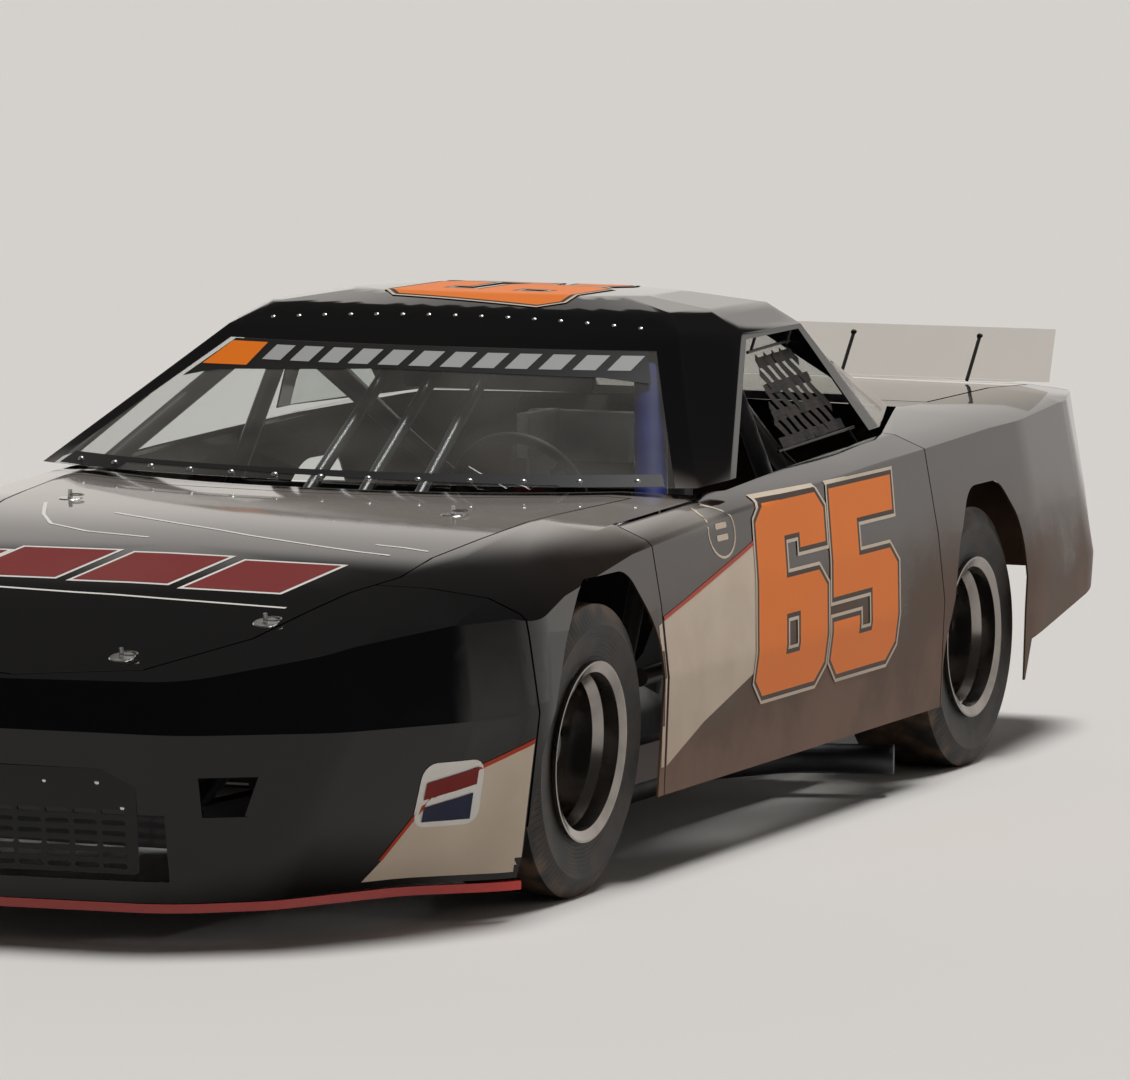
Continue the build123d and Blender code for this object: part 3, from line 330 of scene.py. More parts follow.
def dress(names, material, rolled=None):
    # A CAD node keeps its shape and takes this material, shaded smooth but for its hard edges, or as rolled sheet.
    for name in names:
        mesh = NODES[name].data
        mesh.materials.clear()
        mesh.materials.append(material)
        mesh.shade_smooth()
        if rolled:
            shade_across(mesh, rolled)
        else:
            mesh.set_sharp_from_angle(angle=math.radians(CAD_EDGE))


def skin(names):
    # The chosen CAD nodes as one surface that rays can hit.
    points, faces = [], []
    for name in names:
        mesh = NODES[name].data
        first = len(points)
        points += [vertex.co.copy() for vertex in mesh.vertices]
        faces += [[first + i for i in polygon.vertices] for polygon in mesh.polygons]
    return BVHTree.FromPolygons(points, faces)


def make_piece(name, form, material, body):
    # A bmesh becomes a piece of that material, riding on that body.
    mesh = bpy.data.meshes.new(name)
    form.to_mesh(mesh)
    form.free()
    mesh.materials.append(material)
    mesh.shade_smooth()
    mesh.set_sharp_from_angle(angle=math.radians(PIECE_EDGE))
    piece = bpy.data.objects.new(name, mesh)
    bpy.context.collection.objects.link(piece)
    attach(piece, body)
    return piece


class View:
    # A flat drawing plane: where it starts, its two directions, and the way its shapes are pushed on to the car.
    def __init__(self, start, across, up):
        self.start = Vector(start)
        self.across = Vector(across).normalized()
        self.up = Vector(up).normalized()
        self.push = self.up.cross(self.across)

    def point(self, u, v):
        # The drawn point's place in space, before it is pushed.
        return self.start + self.across * u + self.up * v


LEFT_SIDE = View((SIDE_START, 0, 0), (0, 1, 0), (0, 0, 1))
RIGHT_SIDE = View((-SIDE_START, 0, 0), (0, -1, 0), (0, 0, 1))
TOP_SIDE = View((0, 0, ROOF_START), (1, 0, 0), (0, 1, 0))
FRONT_SIDE = View((0, NOSE_START, 0), (1, 0, 0), (0, 0, 1))
ROOF_VIEW = View((0, 0, ROOF_START), (0, 1, 0), (-1, 0, 0))


def drawn(loops):
    # Flat shapes filled between closed loops of (u, v): a loop inside another is a hole.
    form = bmesh.new()
    edges = []
    for loop in loops:
        corners = [form.verts.new((u, v, 0)) for u, v in loop]
        edges += [form.edges.new(pair) for pair in zip(corners, corners[1:] + corners[:1])]
    bmesh.ops.triangle_fill(form, use_beauty=True, edges=edges, normal=(0, 0, 1))
    return form


def outward_hit(view, tree, u, v, reach):
    # Where a drawn point lands on a surface, with the outward direction there, or None where it misses.
    hit, normal, _, _ = tree.ray_cast(view.point(u, v), view.push, reach)
    if hit is None:
        return None
    return hit, normal if normal.dot(view.push) < 0 else -normal


def lay(name, loops, view, tree, material, body, layer=1, reach=1.8):
    # The flat shape is cut into small cells and pushed on to the surface, where it stands a film proud.
    form = drawn(loops)
    low = [min(vertex.co[i] for vertex in form.verts) for i in (0, 1)]
    high = [max(vertex.co[i] for vertex in form.verts) for i in (0, 1)]
    for i, normal in ((0, (1, 0, 0)), (1, (0, 1, 0))):
        at = low[i] + CUT_STEP
        while at < high[i]:
            spot = (at, 0, 0) if i == 0 else (0, at, 0)
            everything = form.verts[:] + form.edges[:] + form.faces[:]
            bmesh.ops.bisect_plane(form, geom=everything, plane_co=spot, plane_no=normal)
            at += CUT_STEP
    bmesh.ops.remove_doubles(form, verts=form.verts[:], dist=0.02 * MM)
    off_car = []
    for vertex in form.verts:
        landed = outward_hit(view, tree, vertex.co.x, vertex.co.y, reach)
        if landed is None:
            off_car.append(vertex)
        else:
            vertex.co = landed[0] + landed[1] * FILM * layer
    bmesh.ops.delete(form, geom=off_car, context="VERTS")
    bmesh.ops.triangulate(form, faces=form.faces[:])
    return make_piece(name, form, material, body)


def grown(loop, amount):
    # A closed loop moved to its right by an amount: outlines run anticlockwise and grow, holes run the other way.
    # A sharp corner moves no more than two and a half times the amount.
    moved = []
    for before, here, after in zip(loop[-1:] + loop[:-1], loop, loop[1:] + loop[:1]):
        come = (Vector(here) - Vector(before)).normalized()
        go = (Vector(after) - Vector(here)).normalized()
        normals = [Vector((d.y, -d.x)) for d in (come, go)]
        corner = (normals[0] + normals[1]).normalized()
        moved.append(tuple(Vector(here) + corner * amount / max(0.4, corner.dot(normals[0]))))
    return moved


def rounded(width, height, radius, centre, steps=5):
    # A rounded rectangle as a loop.
    loop = []
    for across, up, start in ((1, 1, 0), (-1, 1, 90), (-1, -1, 180), (1, -1, 270)):
        for i in range(steps + 1):
            angle = math.radians(start + 90 * i / steps)
            loop.append((
                centre[0] + across * (width / 2 - radius) + radius * math.cos(angle),
                centre[1] + up * (height / 2 - radius) + radius * math.sin(angle),
            ))
    return loop


def bridge(form, rings):
    # Faces between each closed ring of points and the next.
    for low, high in zip(rings, rings[1:]):
        for i in range(len(low)):
            k = (i + 1) % len(low)
            form.faces.new((low[i], low[k], high[k], high[i]))


DOME_PROFILE = [(1.0, 0.0), (0.92, 0.45), (0.62, 0.85), (0.25, 1.0)]  # shares of its radius and its height


def domes(name, spots, radius, height, material, body):
    # Rivet or button heads: each spot is (place, outward direction).
    form = bmesh.new()
    for spot, outward in spots:
        turn = Vector(outward).to_track_quat("Z", "Y").to_matrix()
        rings = []
        for share, rise in DOME_PROFILE:
            ring = []
            for i in range(ROUND_SIDES):
                angle = 2 * math.pi * i / ROUND_SIDES
                local = Vector((math.cos(angle) * radius * share, math.sin(angle) * radius * share, rise * height))
                ring.append(form.verts.new(Vector(spot) + turn @ local))
            rings.append(ring)
        bridge(form, rings)
        form.faces.new(rings[-1])
    return make_piece(name, form, material, body)


def on_surface(view, tree, points, reach=1.5):
    # The drawn points that land on a surface, each with the outward direction there.
    landed = [outward_hit(view, tree, u, v, reach) for u, v in points]
    return [spot for spot in landed if spot is not None]


def along(first, last, count):
    # Evenly spaced points from first to last.
    return [tuple(a + (b - a) * i / (count - 1) for a, b in zip(first, last)) for i in range(count)]


# Finishes of the CAD nodes

WHEEL_NAMES = ("front_left", "front_right", "rear_left", "rear_right")
BODY_PANELS = [
    "nose", "hood", "cowl", "fender_left", "fender_right", "door_left", "door_right", "quarter_left",
    "quarter_right", "tail", "decklid", "greenhouse",
]
dress(BODY_PANELS, enamel("gloss_black_enamel", "#0a090a", 0.9, 0.05, 0.2), ROLLED_PANEL)
dress(["front_lip"], enamel("red_enamelled_strip", "#e02a1c", 0.1))
dress(
    ["windshield", "rear_window", "quarter_windows"], polycarbonate("clear_polycarbonate", "#f3f5f4", 0.03, 0.09),
)
dress(["spoiler"], polycarbonate("clear_spoiler_sheet", "#f1efec", 0.01, 0.03))
dress(["roll_cage", "frame"], enamel("grey_tube_enamel", "#4d4b4d", 0.3, 0.3, 0.2))
dress(["floor_pan", "seat", "radiator", "fuel_cell"], worked_metal("mill_aluminium_sheet", "#b9bbbd", 0.35))
satin_black = enamel("satin_black_panel", "#101011", 0.1, 0.35, 0.1)
dress(["dash"], satin_black)
dress(["tyre_" + name for name in WHEEL_NAMES], slick_rubber())
dress(["rim_" + name for name in WHEEL_NAMES], worked_metal("dark_chromed_rim", "#9b9590", 0.12))
dress(["hub_" + name for name in WHEEL_NAMES], worked_metal("machined_hub_aluminium", "#8f9092", 0.32))
dress([
    "knuckle_left", "knuckle_right", "rear_axle", "front_suspension", "rear_suspension", "steering_rack",
    "steering_link", "steering_column", "controls", "exhaust", "engine", "driveline",
], worked_metal("blackened_steel", "#4a4a4c", 0.45))
dress(["steering_wheel"], steering_finish())


# Artwork cut from film

LIVERY = {
    "number": cut_vinyl("orange_number_vinyl", "#f27a08", 0.05, 0.03),
    "dark": cut_vinyl("dark_outline_vinyl", "#33241c", 0.1, 0.1),
    "cream": cut_vinyl("cream_stripe_vinyl", "#d9c8b4", 0.35, 0.16),
    "white": cut_vinyl("white_stripe_vinyl", "#e9e6e0", 0.15, 0.1),
    "edge": cut_vinyl("red_edging_vinyl", "#b8381a", 0.25, 0.1),
    "red": cut_vinyl("dark_red_block_vinyl", "#7a1512", 0.0, 0.05),
    "navy": cut_vinyl("navy_badge_vinyl", "#1c2440", 0.1, 0.05),
    "banner": cut_vinyl("black_banner_vinyl", "#070707", 0.0, 0.01),
    "grey": cut_vinyl("pale_grey_mark_vinyl", "#a9aaa8", 0.0, 0.05),
}

# A block six and five, each in a unit square: its outline, and then its hole if it has one
SIX = [
    [(0.12, 0), (0.88, 0), (1, 0.09), (1, 0.50), (0.88, 0.59), (0.40, 0.59), (0.40, 0.81), (0.62, 0.81), (0.62, 0.73),
     (1, 0.73), (1, 0.91), (0.88, 1), (0.12, 1), (0, 0.91), (0, 0.09)],
    [(0.40, 0.19), (0.40, 0.40), (0.60, 0.40), (0.60, 0.19)],
]
FIVE = [
    [(0.12, 0), (0.88, 0), (1, 0.09), (1, 0.52), (0.88, 0.61), (0.40, 0.61), (0.40, 0.81), (0.96, 0.81), (0.96, 1),
     (0, 1), (0, 0.42), (0.60, 0.42), (0.60, 0.19), (0.40, 0.19), (0.40, 0.29), (0, 0.29), (0, 0.09)],
]
# The gap between the digits as a share of their width, and how far the two outlines reach beyond them
DIGIT_GAP = 0.045
DARK_LINE = 0.011
CREAM_LINE = 0.019


def in_metres(loop):
    # A loop given in mm.
    return [(u * MM, v * MM) for u, v in loop]


def on_side(loop, hand):
    # A loop in mm for the left side, in metres, turned over for the right side, where its left is its right.
    placed = in_metres(loop)
    return placed if hand == 1 else [(-u, v) for u, v in reversed(placed)]


def number_loops(centre, width, height, gap, slant):
    # The outlines and holes of both digits, slanted, around their centre.
    loops = []
    each = (width - gap) / 2
    for digit, start in ((SIX, -width / 2), (FIVE, gap / 2)):
        for loop in digit:
            placed = []
            for u, v in loop:
                up = (v - 0.5) * height
                placed.append((centre[0] + start + u * each + slant * up, centre[1] + up))
            loops.append(placed)
    return loops


def race_number(name, view, tree, centre, width, height, slant=0.24):
    # Orange digits inside a dark line inside a cream one, fitted edge to edge.
    loops = number_loops(centre, width, height, DIGIT_GAP * width, slant)
    dark = [grown(loop, DARK_LINE) for loop in loops]
    cream = [grown(loop, CREAM_LINE) for loop in loops]
    for colour, shapes in (("number", loops), ("dark", loops + dark), ("cream", dark + cream)):
        lay(f"{name}_{colour}", shapes, view, tree, LIVERY[colour], "chassis", 3)


# Cream shapes and their red edges on the left side: (y, z) corners in mm
SWOOSHES = {
    "door": [
        (-954, 262), (-731, 341), (-470, 410), (-300, 455), (-270, 520), (-240, 640), (-215, 752), (-435, 705),
        (-735, 645), (-954, 602),
    ],
    "fender": [(-1018, 262), (-968, 262), (-968, 598), (-986, 594)],
    "nose": [(-2010, 112), (-1706, 112), (-1706, 402), (-1850, 350), (-1927, 293), (-1981, 160)],
}
SWOOSH_EDGES = {
    "door": [(-954, 602), (-735, 645), (-435, 705), (-215, 752), (-215, 762), (-435, 715), (-735, 655), (-954, 612)],
    "nose": [(-1981, 160), (-1927, 293), (-1850, 350), (-1706, 402), (-1706, 413), (-1856, 360), (-1936, 299),
             (-1991, 160)],
}
# An oval ring ahead of the number, with two bars in it
OVAL_SIZE = (0.085, 0.064)
OVAL_POINTS = 24
OVAL_LINE = 0.006
BAR_RISE = 0.014
# The square badge low on the corner of the nose: a plate, and a sash and a foot well clear of it
NOSE_BADGE = [
    ("plate", rounded(0.17, 0.15, 0.035, (0, 0)), "white", 2),
    ("sash", [(-0.068, -0.01), (0.068, 0.018), (0.068, 0.058), (-0.068, 0.030)], "red", 5),
    ("foot", [(-0.062, -0.062), (0.062, -0.062), (0.062, -0.002), (-0.062, -0.028)], "navy", 5),
]


def door_badge(centre):
    # The loops of the oval badge around its centre.
    oval = []
    for i in range(OVAL_POINTS):
        angle = 2 * math.pi * i / OVAL_POINTS
        oval.append((centre[0] + OVAL_SIZE[0] * math.cos(angle), centre[1] + OVAL_SIZE[1] * math.sin(angle)))
    hole = list(reversed(grown(oval, -OVAL_LINE)))
    bars = [rounded(0.07, 0.014, 0.005, (centre[0], centre[1] + rise)) for rise in (BAR_RISE, -BAR_RISE)]
    return [oval, hole] + bars


for side, view, hand in (("left", LEFT_SIDE, 1), ("right", RIGHT_SIDE, -1)):
    flank = skin(["door_" + side, "fender_" + side, "quarter_" + side, "nose"])
    for part, loop in SWOOSHES.items():
        lay(f"swoosh_{part}_{side}", [on_side(loop, hand)], view, flank, LIVERY["cream"], "chassis")
    for part, loop in SWOOSH_EDGES.items():
        lay(f"swoosh_edge_{part}_{side}", [on_side(loop, hand)], view, flank, LIVERY["edge"], "chassis", 2)
    race_number("number_" + side, view, flank, (hand * 0.112, 0.588), 0.95, 0.452)
    lay("door_badge_" + side, door_badge((hand * -0.531, 0.772)), view, flank, LIVERY["cream"], "chassis")
    corner = View((hand * 1.641, -2.490, 0.305), (0.6, hand * 0.8, 0), (0, 0, 1))
    for piece, loop, colour, layer in NOSE_BADGE:
        lay(f"nose_badge_{piece}_{side}", [loop], corner, flank, LIVERY[colour], "chassis", layer, 1.6)

race_number("roof_number", ROOF_VIEW, skin(["greenhouse"]), (0.60, 0.02), 0.86, 0.50, 0.18)

# Bonnet: four slanted blocks in white outlines, a thin line across the front and sweeping arcs
bonnet = skin(["hood"])
BLOCK_MIDDLES = [(-560, -1690), (-290, -1662), (0, -1672), (290, -1690)]
BLOCK_CORNERS = [(-150, -100), (90, -100), (150, 100), (-90, 100)]
BLOCK_LINE = 0.010
for i, (u, v) in enumerate(BLOCK_MIDDLES):
    block = in_metres([(u + across, v + up) for across, up in BLOCK_CORNERS])
    lay(f"bonnet_block_edge_{i}", [grown(block, BLOCK_LINE)], TOP_SIDE, bonnet, LIVERY["white"], "hood")
    lay(f"bonnet_block_{i}", [block], TOP_SIDE, bonnet, LIVERY["red"], "hood", 2)


def band(points, width):
    # A stripe of one width along a line of points.
    left, right = [], []
    for before, here, after in zip(points[:1] + points[:-1], points, points[1:] + points[-1:]):
        way = (Vector(after) - Vector(before)).normalized()
        across = Vector((way.y, -way.x)) * width / 2
        left.append(tuple(Vector(here) - across))
        right.append(tuple(Vector(here) + across))
    return right + left[::-1]


BONNET_STRIPE = 0.009
BONNET_LINES = {
    "front_line": [(-340, -1838), (-100, -1858), (150, -1872), (440, -1886)],
    "left_arc": [(-330, -1190), (-100, -1290), (110, -1376), (300, -1440), (438, -1482), (520, -1500)],
    "right_arc": [(-560, -1100), (-500, -1230), (-430, -1330), (-300, -1400), (-120, -1440)],
    "short_arc": [(440, -1400), (520, -1416), (590, -1440)],
}
for name, points in BONNET_LINES.items():
    lay("bonnet_" + name, [band(in_metres(points), BONNET_STRIPE)], TOP_SIDE, bonnet, LIVERY["white"], "hood")

# Windscreen, in mm: black banner with an orange patch and slanted pale dashes, and the black strip along its foot
screen = skin(["windshield"])
SCREEN_REACH = 4.0
SCREEN_FOOT = (838, 860)  # half width and height
SCREEN_RISE = (260, 298)  # how much it narrows over how much height
SCREEN_MARGIN = 22
BANNER_TOP = 1156
BANNER_FOOT = [(-693, 1070), (-540, 1089), (-53, 1107), (220, 1104), (491, 1099), (661, 1087)]
BANNER_PATCH = [(-600, 1098), (-462, 1100), (-452, 1150), (-560, 1150)]
DASH = [(0, 1114), (56, 1114), (66, 1146), (10, 1146)]


def screen_half(z):
    # Half the screen's width at a height, less the margin.
    return (SCREEN_FOOT[0] - (z - SCREEN_FOOT[1]) * SCREEN_RISE[0] / SCREEN_RISE[1]) - SCREEN_MARGIN


banner = [(max(-screen_half(z), min(screen_half(z), x)), z) for x, z in BANNER_FOOT]
banner += [(screen_half(BANNER_TOP), BANNER_TOP), (-screen_half(BANNER_TOP), BANNER_TOP)]
foot_strip = [(-screen_half(873), 874), (screen_half(873), 874), (screen_half(900), 899), (-screen_half(900), 899)]
dashes = [[(start + x, z) for x, z in DASH] for start in range(-430, 500, 84)]
for name, loops, colour, layer in (
    ("screen_banner", [banner], "banner", 1),
    ("screen_banner_patch", [BANNER_PATCH], "number", 2),
    ("screen_banner_dashes", dashes, "grey", 2),
    ("screen_foot_strip", [foot_strip], "banner", 1),
):
    placed = [in_metres(loop) for loop in loops]
    lay(name, placed, FRONT_SIDE, screen, LIVERY[colour], "chassis", layer, SCREEN_REACH)


# Forms fitted over the CAD body

PLATE_PROUD = 0.003
PLATE_THICK = 0.002
PLATE_SIZE = (0.64, 0.232)
SLOT_SIZE = (0.056, 0.013)
SLOT_PITCH = (0.066, 0.024)
SLOT_COUNT = (9, 6)
FIRST_SLOT = (-0.264, 0.175)


def nose_face(x, z):
    # Where the nose's front face is, near its middle: it leans with height and sweeps back to both sides.
    return -2.390 - 0.107 * z + 0.085 * abs(x)


def nose_plate(name, loops, material):
    # A thin plate that lies along the nose's front face.
    form = drawn(loops)
    everything = form.verts[:] + form.edges[:] + form.faces[:]
    bmesh.ops.bisect_plane(form, geom=everything, plane_co=(0, 0, 0), plane_no=(1, 0, 0))
    for vertex in form.verts:
        x, z = vertex.co.x, vertex.co.y
        vertex.co = (x, nose_face(x, z) - PLATE_PROUD, z)
    bmesh.ops.solidify(form, geom=form.faces[:], thickness=PLATE_THICK)
    bmesh.ops.recalc_face_normals(form, faces=form.faces[:])
    return make_piece(name, form, material, "chassis")


grille = [rounded(*PLATE_SIZE, 0.012, (0, 0.274))]
for i in range(SLOT_COUNT[0]):
    for j in range(SLOT_COUNT[1]):
        middle = (FIRST_SLOT[0] + SLOT_PITCH[0] * i, FIRST_SLOT[1] + SLOT_PITCH[1] * j)
        grille.append(list(reversed(rounded(*SLOT_SIZE, 0.0062, middle))))
nose_plate("slotted_grille_plate", grille, satin_black)


def stub(form, place_at, foot, top, height, sides):
    # A short round bar with closed ends, its radius from foot to top, its middle and turn given by a matrix.
    bmesh.ops.create_cone(
        form, cap_ends=True, segments=sides, radius1=foot, radius2=top, depth=height, matrix=place_at,
    )


def tube(name, runs, radius, material, body):
    # Straight round tubes with closed ends, each from one point to another.
    form = bmesh.new()
    for first, last in runs:
        first, last = Vector(first), Vector(last)
        turn = (last - first).to_track_quat("Z", "Y").to_matrix().to_4x4()
        middle = Matrix.Translation((first + last) / 2) @ turn
        stub(form, middle, radius, radius, (last - first).length, ROUND_SIDES)
    return make_piece(name, form, material, body)


def rounded_block(name, middle, sizes, radius, material, body):
    # A block with rounded edges.
    form = bmesh.new()
    bmesh.ops.create_cube(form, size=1, matrix=Matrix.Translation(middle) @ Matrix.Diagonal((*sizes, 1)))
    bmesh.ops.bevel(form, geom=form.edges[:], offset=radius, segments=4, affect="EDGES")
    return make_piece(name, form, material, body)


# Rear-view mirror under the cage's front bar, on two stays
mirror_glass = worked_metal("silvered_mirror", "#dfe3e4", 0.04, 1.5, "#9a9a98", 0.1)
rounded_block("mirror_housing", (0.13, 0.022, 1.075), (0.52, 0.016, 0.062), 0.006, satin_black, "chassis")
rounded_block("mirror_glass", (0.13, 0.031, 1.075), (0.506, 0.004, 0.050), 0.0015, mirror_glass, "chassis")
tube("mirror_stays", [((x, 0.014, 1.100), (x, 0.010, 1.128)) for x in (0.0, 0.26)], 0.006, satin_black, "chassis")
# Stays from the deck to the spoiler's face
stays = [((x, 2.250, 0.926), (x, 2.352, 1.040)) for x in (-0.56, -0.19, 0.19, 0.56)]
tube("spoiler_stays", stays, 0.005, satin_black, "decklid")
domes("spoiler_stay_heads", [(last, (0, -0.6, 0.8)) for _, last in stays], 0.009, 0.008, satin_black, "decklid")


# Fasteners

bright = worked_metal("bright_zinc_fastener", "#d5d5d2", 0.22)
foot_buttons = on_surface(FRONT_SIDE, screen, along((-0.74, 0.886), (0.74, 0.886), 13), 4.0)
domes("screen_foot_buttons", foot_buttons, 0.008, 0.005, bright, "chassis")
roof_rivets = on_surface(TOP_SIDE, skin(["greenhouse"]), along((-0.50, 0.045), (0.50, 0.045), 15))
domes("roof_edge_rivets", roof_rivets, 0.006, 0.003, bright, "chassis")
GRILLE_RIVETS = [(106, 358), (230, 359), (286, 304), (271, 222), (71, 172), (198, 174)]  # (x, z) in mm, both hands
grille_spots = [(hand * u * MM, v * MM) for hand in (1, -1) for u, v in GRILLE_RIVETS]
domes("grille_rivets", on_surface(FRONT_SIDE, skin(["nose"]), grille_spots), 0.006, 0.003, bright, "chassis")


# A pin's plate and stem: the height of its middle, its radius at foot and top, its own height, its sides
PIN_STUBS = [(0.001, 0.030, 0.028, 0.002, 24), (0.011, 0.0065, 0.005, 0.022, 14)]
CLIP_STEPS = 12
CLIP_SIZE = (0.020, 0.012)
CLIP_CENTRE = (0.018, 0.010)
WIRE_RADIUS = 0.0018
WIRE_SIDES = 6


def wire_clip(form, here):
    # A bent wire through the pin: most of an oval, open towards the pin.
    wire = []
    for i in range(CLIP_STEPS + 1):
        angle = math.radians(-150 + 300 * i / CLIP_STEPS)
        fore, across = CLIP_SIZE[0] * math.cos(angle), CLIP_SIZE[1] * math.sin(angle)
        wire.append(Vector((CLIP_CENTRE[0] + fore, across, CLIP_CENTRE[1])))
    rings = []
    for before, point, after in zip(wire[:1] + wire[:-1], wire, wire[1:] + wire[-1:]):
        way = (after - before).normalized()
        side = Vector((way.y, -way.x, 0))
        circle = []
        for k in range(WIRE_SIDES):
            angle = math.radians(360 * k / WIRE_SIDES)
            local = point + side * WIRE_RADIUS * math.cos(angle) + Vector((0, 0, WIRE_RADIUS * math.sin(angle)))
            circle.append(form.verts.new(here @ local))
        rings.append(circle)
    bridge(form, rings)
    form.faces.new(rings[0])
    form.faces.new(rings[-1])


def hood_pins(name, spots):
    # Each pin: a thin scuff plate, the pin's stem, and a wire clip through it.
    form = bmesh.new()
    for spot, outward in spots:
        here = Matrix.Translation(spot) @ Vector(outward).to_track_quat("Z", "Y").to_matrix().to_4x4()
        for middle, foot, top, height, sides in PIN_STUBS:
            stub(form, here @ Matrix.Translation((0, 0, middle)), foot, top, height, sides)
        wire_clip(form, here)
    bmesh.ops.recalc_face_normals(form, faces=form.faces[:])
    return make_piece(name, form, bright, "hood")


PINS = [(0.47, -1.03), (-0.53, -1.03), (0.435, -1.98), (-0.435, -1.98), (0.205, -2.235), (-0.205, -2.235)]
hood_pins("hood_pins", on_surface(TOP_SIDE, bonnet, PINS))


# Soft pieces

# Window net: ribbons that run down and back, woven through level ones, all 24 mm wide as seen from the side
NET_CORNERS = [(0.230, 0.900), (0.720, 0.920), (0.590, 1.140), (0.330, 1.130)]  # (y, z)
NET_FOOT = (0.802, 0.900)  # (x, z)
NET_LEAN = 0.523
NET_STRETCH = math.hypot(1.0, NET_LEAN)  # how much longer the leaned net is than it looks from the side
NET_SLANT = (0.73, -0.68)
NET_LEVEL = (0.99, 0.04)
RIBBON = 0.024
RIBBON_THICK = 0.0012
SLANTED = [(0.16 + 0.058 * i, 1.02) for i in range(12)]  # a point on each slanted ribbon
LEVEL = [(0.475, 0.925 + 0.062 * i) for i in range(4)]  # and on each level one
SHORTEST_RIBBON = 0.03
WEAVE_DEPTH = 0.0014
WEAVE_PITCH = 0.04


def net_x(z):
    # The net leans in with the window's plane, 40 mm inside the body's skin.
    return NET_FOOT[0] - NET_LEAN * (z - NET_FOOT[1])


def across_net(through, way):
    # Where a straight ribbon through a point enters and leaves the net's four-sided frame, or None if it is short.
    through, way = Vector(through), Vector(way).normalized()
    enter, leave = -9.0, 9.0
    for first, last in zip(NET_CORNERS, NET_CORNERS[1:] + NET_CORNERS[:1]):
        side = Vector(last) - Vector(first)
        inward = Vector((-side.y, side.x)).normalized()
        gap = (through - Vector(first)).dot(inward) - RIBBON / 2
        slope = way.dot(inward)
        if abs(slope) < 1e-6:
            continue
        if slope > 0:
            enter = max(enter, -gap / slope)
        else:
            leave = min(leave, -gap / slope)
    return (through + way * enter, through + way * leave) if leave - enter > SHORTEST_RIBBON else None


def ribbon(form, first, last, steps, weave, phase):
    # A flat strap from first to last, passing over and under; returns its flat area.
    way = (last - first).normalized()
    side = Vector((-way.y, way.x)) * RIBBON / 2
    rows = []
    for i in range(steps + 1):
        share = i / steps
        middle = first.lerp(last, share)
        out = weave * math.sin(math.pi * (middle.x / WEAVE_PITCH + phase))
        edges = [middle + side * k for k in (-1, 1)]
        rows.append([(net_x(edge.y) + out, edge.x, edge.y) for edge in edges])
    outer, inner = [], []
    for row in rows:
        outer.append([form.verts.new((x + RIBBON_THICK / 2, y, z)) for x, y, z in row])
        inner.append([form.verts.new((x - RIBBON_THICK / 2, y, z)) for x, y, z in row])
    for a, b, c, d in zip(outer, outer[1:], inner, inner[1:]):
        form.faces.new((a[0], a[1], b[1], b[0]))
        form.faces.new((c[0], d[0], d[1], c[1]))
        form.faces.new((a[0], b[0], d[0], c[0]))
        form.faces.new((a[1], c[1], d[1], b[1]))
    form.faces.new((outer[0][0], inner[0][0], inner[0][1], outer[0][1]))
    form.faces.new((outer[-1][0], outer[-1][1], inner[-1][1], inner[-1][0]))
    return (last - first).length * RIBBON * NET_STRETCH


net = bmesh.new()
net_area = 0.0
for points, way, steps, weave in ((SLANTED, NET_SLANT, 30, WEAVE_DEPTH), (LEVEL, NET_LEVEL, 40, -WEAVE_DEPTH)):
    for i, point in enumerate(points):
        ends = across_net(point, way)
        if ends:
            net_area += ribbon(net, *ends, steps, weave, i % 2)
bmesh.ops.recalc_face_normals(net, faces=net.faces[:])
window_net = make_piece("woven_window_net", net, webbing("black_nylon_webbing", "#12100f"), "chassis")
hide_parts("window_net")
# A rod along the net's top and one along its foot, each on two hooks to the window's edge
top_x, foot_x = net_x(1.140), net_x(0.905)
rods = [((top_x, 0.315, 1.134), (top_x, 0.605, 1.146)), ((foot_x, 0.215, 0.898), (foot_x, 0.74, 0.920))]
hooks = [((top_x, y, 1.138), (0.690, y, 1.182)) for y in (0.34, 0.58)]
hooks += [((foot_x, y, z), (0.835, y, 0.868)) for y, z in ((0.24, 0.899), (0.70, 0.918))]
tube("window_net_rods", rods + hooks, 0.004, satin_black, "chassis")


SLEEVE_STEPS = 28
SLEEVE_SIDES = 20
SLEEVE_BULGE = 0.006
TAPES = (0.34, 0.67)


def sleeve(name, first, last, radius, material):
    # A padded tube around a bar, pulled in at its ends and under two tapes.
    form = bmesh.new()
    first, last = Vector(first), Vector(last)
    way = (last - first).normalized()
    turn = way.to_track_quat("Z", "Y").to_matrix()
    rings = []
    for i in range(SLEEVE_STEPS + 1):
        share = i / SLEEVE_STEPS
        pinch = min([share, 1 - share] + [abs(share - tape) + 0.02 for tape in TAPES])
        grow = radius - SLEEVE_BULGE + SLEEVE_BULGE * min(1.0, pinch / 0.07) ** 0.5
        circle = []
        for k in range(SLEEVE_SIDES):
            angle = 2 * math.pi * k / SLEEVE_SIDES
            local = turn @ Vector((math.cos(angle) * grow, math.sin(angle) * grow, 0))
            circle.append(form.verts.new(first.lerp(last, share) + local))
        rings.append(circle)
    bridge(form, rings)
    form.faces.new(rings[0][::-1])
    form.faces.new(rings[-1])
    piece = make_piece(name, form, material, "chassis")


# The driver's front cage post, with the sleeve over most of it and a line of piping along each side
head, heel = Vector((0.540, 0.010, 1.142)), Vector((0.770, -0.540, 0.800))
blue = padding("blue_foam_padding", "#14247e")
sleeve("post_padding", head.lerp(heel, 0.12), head.lerp(heel, 0.93), 0.040, blue)
piping = []
for reach in (-0.041, 0.041):
    piping.append(tuple(head.lerp(heel, share) + Vector((reach, 0, 0)) for share in (0.14, 0.91)))
tube("post_padding_piping", piping, 0.0022, LIVERY["white"], "chassis")


